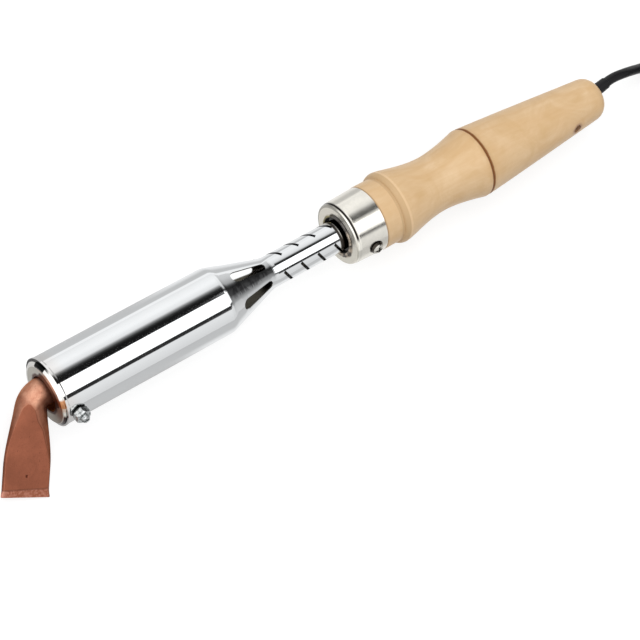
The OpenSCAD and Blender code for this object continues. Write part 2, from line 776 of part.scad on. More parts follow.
// The turned handle's outline: spigot, collar, bead, waist, swell, groove, taper and rounded end.
bead_x = collar_x + collar_len;
crest_x = bead_x + crest_back;
waist_x = collar_x + waist_back;
groove_x = collar_x + groove_back;
groove_rear = groove_x + groove_w / 2;
tail_x = handle_x - 9;
handle_line = rounded(concat(
    [
        [spigot_x, 0, 0], [spigot_x, spigot_r, 0], [collar_x, spigot_r, 0],
        [collar_x, collar_r, 0.4], [bead_x, collar_r - 0.1, 0.3]
    ],
    [
        for (a = [18:18:90])
            [bead_x + crest_back * (1 - cos(a)), collar_r - 0.1 + (bead_r - collar_r + 0.1) * sin(a), 0]
    ],
    [for (i = [1:16]) let(u = i / 16) [blend(crest_x, waist_x, u), blend(bead_r, waist_r, ease(pow(u, 0.72))), 0]],
    [
        for (i = [1:14])
            let(u = i / 14) [blend(waist_x, groove_x - groove_w / 2 - 0.8, u), blend(waist_r, swell_r, pow(u, 1.6)), 0]
    ],
    [[groove_x - groove_w / 2, swell_r, 0], [groove_x, swell_r - groove_deep, 0], [groove_rear, swell_r - 0.05, 0]],
    [for (i = [1:12]) let(u = i / 12) [blend(groove_rear, tail_x, u), blend(swell_r - 0.05, tail_r, pow(u, 1.05)), 0]],
    [[handle_x, tail_r - 0.8, tail_round], [handle_x, 0, 0]]
));
module handle() {
    color([0.87, 0.72, 0.53])
    on_axis()
    difference() {
        turned() rotate_extrude() polygon([for (p = handle_line) [p.y, p.x]]);
        rod(hollow_r, spigot_x - 1, hollow_x);
        rod(cord_r + 0.1, hollow_x - 1, sleeve_x + 1);
        slanted() rod(sleeve_r, 0, 2 * sleeve_len);
        for (a = [screw_turn, screw_turn + 180])
            radial(a, collar_x - fix_back) translate([0, 0, hollow_r - 1]) cylinder(r = fix_r, h = 10);
        radial(screw_turn, cord_screw_x) cylinder(r = cord_screw_hole, h = bead_r);
    }
}

module terminal_block() {
    color([0.92, 0.91, 0.87])
    on_axis()
    difference() {
        translate([block_x + block_len / 2, 0, 0]) cube([block_len, block_w, block_h], center = true);
        for (s = [-1, 1]) {
            translate([0, s * lead_side, 0]) rod(1.3, block_x - 1, block_x + block_len + 1);
            for (k = [-1, 1])
                translate([block_x + block_len / 2 + k * term_pitch / 2, s * lead_side, 0])
                    cylinder(r = term_r, h = block_h);
        }
    }
}
module terminal_screws() {
    color([0.8, 0.7, 0.4])
    on_axis()
    for (s = [-1, 1])
        for (k = [-1, 1])
            translate([block_x + block_len / 2 + k * term_pitch / 2, s * lead_side, 0])
            difference() {
                translate([0, 0, lead_r]) cylinder(r = term_r - 0.05, h = block_h / 2 - 1 - lead_r);
                translate([0, 0, block_h / 2 - 1]) cube([3 * term_r, 0.6, 1.2], center = true);
            }
}
module cord_cores() {
    color([0.72, 0.45, 0.3])
    on_axis()
    for (s = [-1, 1])
        tube([
            [block_x + block_len - 7, s * lead_side, 0],
            [block_x + block_len, s * lead_side, 0],
            [block_x + block_len + core_bare - 3, s * 1.1, 0],
            [block_x + block_len + core_bare, s * 1.1, 0]
        ], 0.6, 8);
}
module inner_cord() {
    color([0.08, 0.08, 0.08])
    on_axis()
    rod(cord_r, block_x + block_len + core_bare, sleeve_x - cord_r * sin(exit_slant) / 2);
}
pad_foot = cord_r;
module cord_pad() {
    color([0.5, 0.3, 0.2])
    on_axis()
    radial(screw_turn, cord_screw_x)
    difference() {
        cylinder(r = cord_screw_hole, h = pad_foot + pad_t);
        rotate([0, 90, 0]) cylinder(r = cord_r, h = 20, center = true);
        translate([0, 0, -10]) cube([20, 20, 20], center = true);
    }
}
module cord_screw() {
    color([0.4, 0.28, 0.18])
    on_axis()
    radial(screw_turn, cord_screw_x)
    translate([0, 0, pad_foot + pad_t])
    difference() {
        cylinder(r = cord_screw_r, h = cord_screw_len);
        translate([0, 0, cord_screw_len]) cube([3 * cord_screw_r, 0.7, 1.6], center = true);
    }
}
module cord_sleeve() {
    outer = rounded([
        [0, 0, 0], [0, sleeve_r, 0], [sleeve_in, sleeve_r, 0], [sleeve_len, sleeve_end_r, 0.4], [sleeve_len, 0, 0]
    ]);
    color([0.07, 0.07, 0.07])
    on_axis()
    slanted()
    difference() {
        turned() rotate_extrude() polygon([for (p = outer) [p.y, p.x]]);
        rod(cord_r, -1, sleeve_len + 1);
    }
}

module cord() {
    color([0.07, 0.07, 0.07])
    on_table() tube(cord_pts, cord_r, 10);
}
module cord_coil() {
    color([0.07, 0.07, 0.07])
    on_table() tube(coil_pts, cord_r, 6);
}
module cord_end() {
    color([0.07, 0.07, 0.07])
    on_table() tube(end_pts, cord_r, 10);
}

// The tie goes round all the turns on the side of the coil away from the tool.
tie_turn = -90;
tie_in = coil_r - coil_amp - cord_r - 0.3;
tie_out = coil_r + coil_amp + cord_r + 0.3;
tie_top = coil_low + (layer_n - 1) * coil_pitch + cord_r + 0.3;
module tie_ring(grow) {
    translate([tie_in - grow, tie_t - grow])
        square([tie_out - tie_in + 2 * grow, tie_top - tie_t + 2 * grow]);
}
module coil_tie() {
    color([0.16, 0.16, 0.17])
    on_table()
    translate([coil_mid.x, coil_mid.y, 0])
    rotate([0, 0, tie_turn])
    rotate([90, 0, 0])
    translate([0, 0, -tie_w / 2])
    linear_extrude(height = tie_w)
    difference() {
        tie_ring(tie_t);
        tie_ring(0);
    }
}

module plug_body() {
    color([0.09, 0.09, 0.09])
    on_table()
    translate([plug_x, plug_rear.y, plug_rear.z])
    difference() {
        union() {
            intersection() {
                hull() {
                    for (s = [-1, 1])
                        translate([plug_len - 3, s * (plug_w / 2 - 5), 0]) rotate([0, 90, 0]) cylinder(r = 5, h = 3);
                    for (s = [-1, 1])
                        translate([9, s * (plug_w / 2 - 7), 0]) cylinder(r = 7, h = plug_t, center = true);
                    translate([2, 0, 0]) cylinder(r = 5, h = plug_t - 2, center = true);
                }
                cube([2 * plug_len, plug_w, plug_t], center = true);
            }
            rotate([0, -90, 0]) cylinder(r1 = 5.4, r2 = relief_r, h = relief_len);
            rotate([0, 90, 0]) cylinder(r = 5.4, h = 6);
        }
        for (s = [-1, 1])
            translate([plug_len - pin_in, s * pin_pitch / 2, 0]) rotate([0, 90, 0]) cylinder(r = root_r, h = pin_in + 1);
    }
}
module plug_pins() {
    color([0.82, 0.8, 0.74])
    on_table()
    translate([plug_x + plug_len, plug_rear.y, plug_rear.z])
    for (s = [-1, 1])
        translate([0, s * pin_pitch / 2, 0])
        rotate([0, 90, 0]) {
            translate([0, 0, -pin_in]) cylinder(r = root_r, h = pin_in);
            cylinder(r = pin_r, h = pin_len - 0.8);
            translate([0, 0, pin_len - 0.8]) cylinder(r1 = pin_r, r2 = pin_r - 0.7, h = 0.8);
        }
}

copper_bit();
barrel();
nose_ring();
clamp_screw();
clamp_nut();
core_tube();
mica_wrap();
heater_winding();
outer_wrap();
rear_disc();
lead_wires();
lead_sleeves();
ferrule();
ferrule_screws();
handle();
terminal_block();
terminal_screws();
cord_cores();
inner_cord();
cord_screw();
cord_pad();
cord_sleeve();
cord();
cord_coil();
cord_end();
coil_tie();
plug_body();
plug_pins();
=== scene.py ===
"""Looks for a wooden-handled electric soldering iron: finishes, small hardware, the bit, the cord and its plug."""

import math

import bmesh
import bpy
from mathutils import Matrix, Vector


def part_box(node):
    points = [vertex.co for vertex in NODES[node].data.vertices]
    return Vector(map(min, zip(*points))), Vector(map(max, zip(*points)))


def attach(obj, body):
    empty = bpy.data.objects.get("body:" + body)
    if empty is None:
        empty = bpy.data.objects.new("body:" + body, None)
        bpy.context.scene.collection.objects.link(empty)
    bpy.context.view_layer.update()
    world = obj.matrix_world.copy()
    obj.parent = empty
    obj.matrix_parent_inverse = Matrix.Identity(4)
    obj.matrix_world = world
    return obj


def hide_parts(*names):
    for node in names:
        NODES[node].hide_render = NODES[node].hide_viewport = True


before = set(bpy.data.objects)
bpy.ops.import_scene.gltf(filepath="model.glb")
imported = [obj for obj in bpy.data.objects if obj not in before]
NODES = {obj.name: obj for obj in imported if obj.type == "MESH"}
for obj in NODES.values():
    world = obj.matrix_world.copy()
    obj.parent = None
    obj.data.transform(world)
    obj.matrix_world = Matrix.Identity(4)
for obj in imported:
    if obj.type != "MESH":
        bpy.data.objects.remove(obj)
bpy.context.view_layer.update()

bl_info = {
    "name": "Soldering Iron Dress",
    "version": (1, 0, 0),
    "blender": (4, 5, 0),
    "location": "3D View > Sidebar > Iron",
    "description": "Dresses a soldering iron's solids with finishes, fine hardware, its bit, cord and plug",
    "category": "Object",
}

MM = 0.001
BARREL_LOW, BARREL_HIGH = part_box("barrel")
MOUTH = Vector((BARREL_LOW.x, (BARREL_LOW.y + BARREL_HIGH.y) / 2, (BARREL_LOW.z + BARREL_HIGH.z) / 2))


def on_axis(x, y=0.0, z=0.0):
    """A point given in millimetres from the centre of the barrel's mouth."""
    return MOUTH + Vector((x, y, z)) * MM


def on_table(x, y, z):
    """A point given in millimetres: X and Y from the barrel's mouth, Z from the table."""
    return Vector((MOUTH.x + x * MM, MOUTH.y + y * MM, z * MM))


# Sizes and colours that a user would change.


class IronCordSizes(bpy.types.PropertyGroup):
    diameter: bpy.props.FloatProperty(
        name="Cord diameter", description="Diameter of the two-core cord", default=4.8 * MM, unit="LENGTH"
    )
    length: bpy.props.FloatProperty(
        name="Cord length", description="Length from the handle to the plug", default=1.2, unit="LENGTH"
    )
    coil_radius: bpy.props.FloatProperty(
        name="Coil radius", description="Mean radius of the coil's turns", default=24.6 * MM, unit="LENGTH"
    )
    tie_width: bpy.props.FloatProperty(
        name="Tie width", description="Width of the strap round the coil", default=6 * MM, unit="LENGTH"
    )


class IronBitSizes(bpy.types.PropertyGroup):
    shank: bpy.props.FloatProperty(
        name="Shank radius", description="Radius of the round shank", default=6.6 * MM, unit="LENGTH"
    )
    width: bpy.props.FloatProperty(
        name="Blade width", description="Width of the blade at its working edge", default=22.2 * MM, unit="LENGTH"
    )
    length: bpy.props.FloatProperty(
        name="Blade length", description="Length from the bend's corner to the working edge", default=43.8 * MM, unit="LENGTH"
    )
    thickness: bpy.props.FloatProperty(
        name="Blade thickness", description="Thickness between the two hammered flats", default=2.4 * MM, unit="LENGTH"
    )
    edge: bpy.props.FloatProperty(
        name="Edge thickness", description="Thickness left at the working edge", default=1.0 * MM, unit="LENGTH"
    )


class IronScrewSizes(bpy.types.PropertyGroup):
    clamp_radius: bpy.props.FloatProperty(
        name="Clamp screw radius", description="Radius over the clamp screw's thread", default=2 * MM, unit="LENGTH"
    )
    pitch: bpy.props.FloatProperty(
        name="Thread pitch", description="Distance between the thread's turns", default=0.7 * MM, unit="LENGTH"
    )
    nut_width: bpy.props.FloatProperty(
        name="Nut width", description="Width of the lock nut across its flats", default=6.6 * MM, unit="LENGTH"
    )
    head_radius: bpy.props.FloatProperty(
        name="Ferrule screw head", description="Radius of the ferrule screws' domed heads", default=3.1 * MM, unit="LENGTH"
    )


class IronColours(bpy.types.PropertyGroup):
    copper: bpy.props.FloatVectorProperty(
        name="Copper", description="Forged copper of the bit", default=(0.295, 0.100, 0.057), subtype="COLOR", size=3
    )
    wood: bpy.props.FloatVectorProperty(
        name="Wood", description="Pale turned wood of the handle", default=(0.745, 0.515, 0.285), subtype="COLOR", size=3
    )
    burnt: bpy.props.FloatVectorProperty(
        name="Burnt wood", description="Scorched line in the handle's groove", default=(0.24, 0.085, 0.012), subtype="COLOR", size=3
    )
    chrome: bpy.props.FloatVectorProperty(
        name="Chrome", description="Polished plate on the barrel", default=(0.775, 0.79, 0.80), subtype="COLOR", size=3
    )
    nickel: bpy.props.FloatVectorProperty(
        name="Nickel", description="Warm plate on the ferrule", default=(0.80, 0.775, 0.71), subtype="COLOR", size=3
    )
    steel: bpy.props.FloatVectorProperty(
        name="Steel", description="Bright screws and pins", default=(0.62, 0.64, 0.64), subtype="COLOR", size=3
    )
    rubber: bpy.props.FloatVectorProperty(
        name="Rubber", description="Black jacket of the cord", default=(0.006, 0.006, 0.007), subtype="COLOR", size=3
    )
    plug: bpy.props.FloatVectorProperty(
        name="Plug", description="Black moulded plastic of the plug", default=(0.018, 0.018, 0.019), subtype="COLOR", size=3
    )


class IronStage(bpy.types.PropertyGroup):
    sky: bpy.props.FloatProperty(name="Sky level", description="Light from all round", default=0.80)
    key: bpy.props.FloatProperty(name="Key lamp", description="Power of the large soft lamp", default=7.0, unit="POWER")
    floor: bpy.props.FloatVectorProperty(
        name="Floor", description="Colour of the plain floor", default=(0.34, 0.34, 0.34), subtype="COLOR", size=3
    )


def settings(kind):
    return getattr(bpy.context.scene, kind)


# Modelling helpers.


def deselect():
    if bpy.context.mode != "OBJECT":
        bpy.ops.object.mode_set(mode="OBJECT")
    bpy.ops.object.select_all(action="DESELECT")


def focus(piece):
    deselect()
    piece.select_set(True)
    bpy.context.view_layer.objects.active = piece


def named(name):
    piece = bpy.context.object
    piece.name = name
    piece.data.name = name
    return piece


def settle(piece):
    """Puts the piece's place into its mesh."""
    focus(piece)
    bpy.ops.object.transform_apply(location=True, rotation=True, scale=True)
    return piece


def edit(piece):
    focus(piece)
    bpy.ops.object.mode_set(mode="EDIT")
    return bmesh.from_edit_mesh(piece.data)


def choose(piece, mesh, test, kind="faces"):
    """Selects, in edit mode, the faces, edges or points that pass the test, and nothing else."""
    bpy.ops.mesh.select_mode(type={"faces": "FACE", "edges": "EDGE", "verts": "VERT"}[kind])
    bpy.ops.mesh.select_all(action="DESELECT")
    for part in getattr(mesh, kind):
        if test(part):
            part.select_set(True)
    mesh.select_flush_mode()
    bmesh.update_edit_mesh(piece.data)


def done(piece, angle=35):
    """Leaves edit mode with every face outward, smooth up to the angle."""
    if bpy.context.mode != "OBJECT":
        bpy.ops.object.mode_set(mode="OBJECT")
    focus(piece)
    bpy.ops.object.mode_set(mode="EDIT")
    bpy.ops.mesh.select_all(action="SELECT")
    bpy.ops.mesh.remove_doubles(threshold=1e-6)
    bpy.ops.mesh.normals_make_consistent(inside=False)
    bpy.ops.object.mode_set(mode="OBJECT")
    bpy.ops.object.shade_smooth_by_angle(angle=math.radians(angle))
    return piece


def modify(piece, kind, **values):
    focus(piece)
    step = piece.modifiers.new(kind.title(), kind)
    for name, value in values.items():
        setattr(step, name, value)
    bpy.ops.object.modifier_apply(modifier=step.name)
    return piece


def join(first, *others):
    focus(first)
    for piece in others:
        piece.select_set(True)
    bpy.ops.object.join()
    return first


def block(x, y, z):
    """A cube primitive between two values along each axis."""
    deselect()
    middle = [(a + b) / 2 for a, b in (x, y, z)]
    bpy.ops.mesh.primitive_cube_add(size=1, location=middle, scale=[b - a for a, b in (x, y, z)])
    return settle(bpy.context.object)


def round_bar(radius, low, high, points=32):
    """An upright cylinder primitive on the Z axis."""
    deselect()
    bpy.ops.mesh.primitive_cylinder_add(vertices=points, radius=radius, depth=high - low, location=(0, 0, (low + high) / 2))
    return settle(bpy.context.object)


def cut(piece, tool, how="DIFFERENCE"):
    modify(piece, "BOOLEAN", object=tool, operation=how, solver="EXACT")
    bpy.data.objects.remove(tool)
    return piece


def soften(piece, width, segments=2, angle=30):
    return modify(piece, "BEVEL", width=width, segments=segments, limit_method="ANGLE", angle_limit=math.radians(angle))


def stand(piece, turn, x):
    """Turns a piece that was made upright to an angle round the tool's axis, at a place along it."""
    piece.rotation_euler = (math.radians(90 - turn), 0, 0)
    piece.location = on_axis(x)
    return settle(piece)


def wear(piece, material):
    piece.data.materials.clear()
    piece.data.materials.append(material)
    return piece


def dress(material, *nodes):
    for node in nodes:
        wear(NODES[node], material)


# Materials: each is built from nodes on the piece's own place.


class Recipe:
    """A node tree under construction."""

    def node(self, kind, props=None, **inputs):
        made = self.tree.nodes.new(kind)
        for key, value in (props or {}).items():
            setattr(made, key, value)
        for key, value in inputs.items():
            self.put(made.inputs[int(key[1:])] if key[0] == "i" and key[1:].isdigit() else made.inputs[key], value)
        return made

    def put(self, socket, value):
        if isinstance(value, bpy.types.NodeSocket):
            self.tree.links.new(value, socket)
        elif hasattr(value, "__len__") and socket.type == "RGBA":
            socket.default_value = (*value[:3], 1)
        else:
            socket.default_value = value

    def stretch(self, scale, turn=(0, 0, 0), centre=(0, 0, 0), place=None):
        return self.node(
            "ShaderNodeMapping", Vector=place or self.place, Scale=scale, Rotation=turn, Location=centre
        ).outputs[0]

    def noise(self, scale, detail=3, rough=0.55, place=None, warp=0.0):
        return self.node(
            "ShaderNodeTexNoise", Vector=place or self.place, Scale=scale, Detail=detail, Roughness=rough, Distortion=warp
        ).outputs[0]

    def ramp(self, value, *stops, ease="LINEAR"):
        made = self.node("ShaderNodeValToRGB", Fac=value)
        bar = made.color_ramp
        bar.interpolation = ease
        while len(bar.elements) < len(stops):
            bar.elements.new(0.5)
        for element, (at, colour) in zip(bar.elements, stops):
            element.position = at
        for element, (at, colour) in zip(bar.elements, stops):
            element.color = (colour, colour, colour, 1) if isinstance(colour, (int, float)) else (*colour, 1)
        return made.outputs[0]

    def maths(self, how, a, b=0.0, c=0.0):
        return self.node("ShaderNodeMath", {"operation": how}, i0=a, i1=b, i2=c).outputs[0]

    def mix(self, fac, a, b, how="MIX"):
        made = self.node("ShaderNodeMix", {"data_type": "RGBA", "blend_type": how}, i0=fac, i6=a, i7=b)
        return made.outputs[2]

    def between(self, value, low, high):
        """Maps 0 to 1 onto low to high."""
        return self.node("ShaderNodeMapRange", Value=value, **{"To Min": low, "To Max": high}).outputs[0]

    def parts(self, place=None):
        return self.node("ShaderNodeSeparateXYZ", Vector=place or self.place).outputs

    def far(self, point, place=None):
        """Distance from a point in millimetres."""
        return self.node(
            "ShaderNodeVectorMath", {"operation": "DISTANCE"}, i0=place or self.place, i1=tuple(point)
        ).outputs["Value"]

    def radius(self, y, z):
        return self.maths("SQRT", self.maths("ADD", self.maths("MULTIPLY", y, y), self.maths("MULTIPLY", z, z)))

    def over(self, value, low, high):
        """0 up to low, rising to 1 at high."""
        return self.maths("SUBTRACT", 1.0, self.reach(value, low, high))

    def reach(self, value, near, far):
        """1 up to near, fading to 0 at far."""
        return self.node(
            "ShaderNodeMapRange", {"interpolation_type": "SMOOTHSTEP"}, Value=value,
            **{"From Min": near, "From Max": far, "To Min": 1.0, "To Max": 0.0},
        ).outputs[0]


class Finish(Recipe):
    """A material whose patterns lie in millimetres from the middle of the barrel's mouth."""

    def __init__(self, name, colour=(0.5, 0.5, 0.5), **body):
        self.material = bpy.data.materials.new(name)
        self.material.use_nodes = True
        self.tree = self.material.node_tree
        self.body = self.tree.nodes["Principled BSDF"]
        self.place = self.node(
            "ShaderNodeMapping", Vector=self.node("ShaderNodeTexCoord").outputs["Object"],
            Scale=(1 / MM, 1 / MM, 1 / MM), Location=tuple(-MOUTH / MM),
        ).outputs[0]
        self.body.inputs["Base Color"].default_value = (*colour, 1)
        for name, value in body.items():
            self.body.inputs[name.replace("_", " ").title().replace("Ior", "IOR")].default_value = value

    def bump(self, height, depth, strength=1.0, normal=None):
        """Relief whose full height is depth in millimetres."""
        made = self.node("ShaderNodeBump", Height=height, Distance=depth * MM, Strength=strength)
        if normal is not None:
            self.put(made.inputs["Normal"], normal)
        return made.outputs[0]

    def set(self, **sockets):
        for key, value in sockets.items():
            self.put(self.body.inputs[key.replace("_", " ").title()], value)
        return self.material


def shade(colour, by):
    return tuple(min(1.0, c * by) for c in colour)


def metal(name, colour, rough=(0.15, 0.25), waves=0.0, brush=(0.3, 0.3, 0.3), tint=None):
    """Plate or bare metal: roughness that varies along the brushing, and a faint unevenness."""
    f = Finish(name, colour, metallic=1.0)
    streaks = f.noise(1.0, 5, 0.6, place=f.stretch(brush))
    cloud = f.noise(0.09, 3)
    colours = f.mix(f.between(cloud, 0.0, 1.0), shade(colour, 0.93), shade(colour, 1.04))
    if tint:
        colours = f.mix(f.ramp(f.noise(0.16, 5, 0.65), (0.42, 0), (0.72, 1)), colours, tint)
    relief = f.bump(streaks, 0.0012)
    if waves:
        relief = f.bump(f.noise(0.11, 2), waves, normal=relief)
    return f.set(Base_Color=colours, Roughness=f.between(streaks, *rough), Normal=relief)


def plain(name, colour, rough=0.6, grain=2.0, depth=0.05, speck=0.7, metallic=0.0):
    """Ceramic, fibre, paper or plastic: a mottled colour with a fine grain."""
    f = Finish(name, colour, metallic=metallic)
    cloud = f.noise(0.25, 4, 0.6)
    fine = f.noise(grain, 4, 0.65)
    mottle = f.mix(f.ramp(cloud, (0.3, 0), (0.7, 1)), shade(colour, speck), colour)
    return f.set(
        Base_Color=f.mix(f.ramp(fine, (0.55, 0), (0.8, 0.5)), mottle, shade(colour, speck * 0.8)),
        Roughness=f.between(fine, rough - 0.08, rough + 0.08), Normal=f.bump(fine, depth),
    )


def woven(name, colour, step, along, across, depth=0.12, rough=0.75):
    """Braid or webbing: threads that pass over and under along two directions."""
    f = Finish(name, colour)
    x, y, z = f.parts()
    threads = []
    for way in (along, across):
        run = f.node("ShaderNodeVectorMath", {"operation": "DOT_PRODUCT"}, i0=f.place, i1=way).outputs["Value"]
        threads.append(f.maths("SINE", f.maths("MULTIPLY", run, 2 * math.pi / step)))
    weave = f.maths("MULTIPLY_ADD", f.maths("MULTIPLY", threads[0], threads[1]), 0.5, 0.5)
    fuzz = f.noise(3.0, 3)
    height = f.maths("ADD", weave, f.maths("MULTIPLY", fuzz, 0.4))
    # The hollows between the threads are darkened: painted shade.
    return f.set(
        Base_Color=f.mix(f.ramp(weave, (0.1, 0), (0.7, 1)), shade(colour, 0.45), f.mix(fuzz, colour, shade(colour, 1.25))),
        Roughness=f.between(fuzz, rough - 0.1, rough + 0.1), Normal=f.bump(height, depth),
    )


# The stage.


class IRON_OT_stage(bpy.types.Operator):
    """Sets up the photograph's camera, a plain pale floor and soft studio light"""

    bl_idname = "iron.stage"
    bl_label = "Stage"

    def execute(self, context):
        scene = context.scene
        look = settings("iron_stage")
        scene.view_settings.view_transform = "Standard"

        data = bpy.data.cameras.new("photo_camera")
        data.sensor_width = 36
        data.lens = 146.25
        data.clip_start, data.clip_end = 0.05, 20
        camera = bpy.data.objects.new("photo_camera", data)
        scene.collection.objects.link(camera)
        right, up, back = (0.79278, -0.48740, 0.36599), (0.44252, 0.87315, 0.20430), (-0.41914, 0.0, 0.90792)
        turn = Matrix((right, up, back)).transposed().to_4x4()
        camera.matrix_world = Matrix.Translation(on_axis(-361.15, -29.90, 1062.27)) @ turn
        scene.camera = camera

        deselect()
        bpy.ops.mesh.primitive_plane_add(size=6, location=(0, 0, -0.0002))
        floor = named("floor")
        wear(floor, self.floor_finish(look))

        bpy.ops.object.light_add(type="AREA", location=(-0.25, 0.55, 1.35))
        key = bpy.context.object
        key.name = "key_lamp"
        key.data.shape = "RECTANGLE"
        key.data.size, key.data.size_y = 1.4, 0.9
        key.data.energy = look.key
        key.rotation_euler = (Vector((0, 0, 0)) - key.location).to_track_quat("-Z", "Y").to_euler()
        key.visible_glossy = False
        self.world(scene, look)
        return {"FINISHED"}

    def floor_finish(self, look):
        f = Finish("floor_paint", look.floor, roughness=0.9)
        f.body.inputs["Specular IOR Level"].default_value = 0.0
        mottle = f.noise(0.003, 2)
        f.set(Base_Color=f.mix(f.between(mottle, 0, 0.04), look.floor, shade(look.floor, 0.9)))
        path = f.node("ShaderNodeLightPath").outputs
        bare = f.maths("MAXIMUM", path["Is Camera Ray"], path["Is Transmission Ray"])
        f.body.inputs["Emission Color"].default_value = (1, 1, 1, 1)
        # For glossy rays the floor glows brighter under the neck and far out to one side: painted light in the metal's
        # reflections.
        away = f.over(f.parts()[1], 110, 170)
        under = f.maths("MULTIPLY", f.reach(f.maths("ABSOLUTE", f.parts()[1]), 25, 60), f.over(f.parts()[0], 60, 90))
        spread = f.maths("MULTIPLY_ADD", under, 0.35, f.maths("MULTIPLY_ADD", away, 0.45, 0.31))
        floor_reflection_glow = f.maths("MULTIPLY", path["Is Glossy Ray"], spread)
        f.put(f.body.inputs["Emission Strength"], f.maths("MULTIPLY_ADD", bare, 0.76, floor_reflection_glow))
        return f.material

    def world(self, scene, look):
        world = bpy.data.worlds.new("studio")
        scene.world = world
        world.use_nodes = True
        f = Recipe()
        f.tree = world.node_tree
        sky = f.tree.nodes["Background"]
        direction = f.node("ShaderNodeTexCoord").outputs["Generated"]
        x, y, z = f.node("ShaderNodeSeparateXYZ", Vector=direction).outputs
        round_x = f.maths("ARCTAN2", f.maths("MULTIPLY", y, -1.0), z)
        share = f.maths("MULTIPLY_ADD", round_x, 1 / (2 * math.pi), 0.5)
        near = f.ramp(
            share, (0.0, 0.85), (0.25, 1.02), (0.28, 1.10), (0.325, 1.17), (0.343, 1.16), (0.386, 0.95), (0.404, 0.30),
            (0.4213, 0.06), (0.4385, 0.01), (0.4850, 0.01), (0.4880, 1.9), (0.6028, 1.9), (0.605, 0.03),
            (0.6375, 0.03), (0.6405, 0.95), (0.6556, 0.98), (0.692, 0.92), (0.735, 0.86), (1.0, 0.83),
        )
        far = f.ramp(
            share, (0.0, 0.85), (0.25, 1.04), (0.306, 1.13), (0.3525, 1.04), (0.388, 0.90), (0.405, 0.70), (0.419, 0.2),
            (0.426, 0.02), (0.4625, 0.02), (0.465, 1.9), (0.588, 1.9), (0.590, 0.02), (0.627, 0.02), (0.630, 0.90),
            (0.66, 0.92), (0.70, 0.86), (0.76, 0.80), (1.0, 0.80),
        )
        ferrule = f.ramp(
            share, (0.0, 0.85), (0.25, 1.04), (0.306, 1.13), (0.3525, 1.04), (0.40, 0.88), (0.43, 0.76), (0.440, 0.36),
            (0.449, 0.06), (0.457, 0.14), (0.466, 0.40), (0.474, 0.75), (0.480, 1.9), (0.578, 1.9), (0.589, 0.30),
            (0.598, 0.06), (0.609, 0.30), (0.625, 0.90), (0.66, 0.92), (0.70, 0.86), (0.76, 0.80), (1.0, 0.80),
        )
        rear = f.ramp(
            share, (0.0, 0.68), (0.25, 0.80), (0.31, 0.72), (0.38, 0.45), (0.41, 0.12), (0.425, 0.05), (0.445, 0.02),
            (0.455, 0.025), (0.49, 0.055), (0.54, 0.075), (0.553, 0.16), (0.58, 0.28), (0.61, 0.33), (0.63, 0.42),
            (0.645, 0.65), (0.70, 0.76), (0.75, 0.80), (1.0, 0.70),
        )
        front = f.ramp(
            share, (0.0, 0.7), (0.25, 0.95), (0.33, 1.2), (0.42, 1.7), (0.56, 1.7), (0.62, 1.25), (0.80, 1.0),
            (0.88, 0.75), (1.0, 0.7),
        )
        bands = f.mix(f.over(x, 0.395, 0.412), near, far)
        bands = f.mix(f.over(x, 0.4425, 0.4455), bands, ferrule)
        bands = f.mix(f.over(x, 0.22, 0.30), front, bands)
        bands = f.mix(f.over(x, 0.56, 0.66), bands, rear)
        path = f.node("ShaderNodeLightPath").outputs
        level = f.mix(path["Is Glossy Ray"], (look.sky, look.sky, look.sky), bands)
        plain = f.maths("MAXIMUM", path["Is Camera Ray"], path["Is Transmission Ray"])
        f.put(sky.inputs["Color"], f.mix(plain, level, (1.0, 1.0, 1.0)))
        sky.inputs["Strength"].default_value = 1.0


# The cord and what is on it.


def climb(t, layer_turns, layers):
    """The layer that the cord lies in after t turns, easing up over half a turn at each reversal."""
    step = round(t / layer_turns)
    if step <= 0:
        return 0
    if step >= layers:
        return layers - 1
    u = min(max((t - step * layer_turns) / 0.5 + 0.5, 0), 1)
    return step - 1 + u * u * (3 - 2 * u)


def coil_route(radius):
    """The coil's points: four layers of turns, side by side and layer on layer, wound outward and inward by turns."""
    low, pitch, layers, layer_turns, steps = 3.5, 5.4, 4, 1.75, 24
    swing = pitch * layer_turns / 2
    points = []
    for i in range(int(layers * layer_turns * steps) + 1):
        t = i / steps
        layer = int(min(t / layer_turns, layers - 0.01))
        u = (t - layer * layer_turns) / layer_turns
        r = radius + swing * (2 * u - 1 if layer % 2 else 1 - 2 * u)
        a = math.radians(90 - 360 * t)
        points.append(on_table(388 + r * math.cos(a), -27 + r * math.sin(a), low + pitch * climb(t, layer_turns, layers)))
    return points


CORD_START = [
    (303, 0, 17.65), (312, 1.265, 17.65), (322.805, 2.783, 17.65), (327.76, 3.18, 17.35), (335, 2.7, 16.2),
    (343, 2, 12.3), (351, 1.2, 8), (359, 0.8, 5.2), (367, 1.6, 3.9), (375.2, 2.325, 3.5), (383.2, 2.325, 3.5),
]
CORD_END = [
    (392.8, 2.325, 19.7), (394.3, 2.325, 19.7), (397.8, 2.325, 19.3), (405, 2.2, 17), (412, 2, 13.2),
    (418, 1.5, 9.6), (423, 1.1, 7.4), (426, 1, 6.8), (428, 1, 6.8), (436, 1, 6.8), (444, 1, 6.8),
]


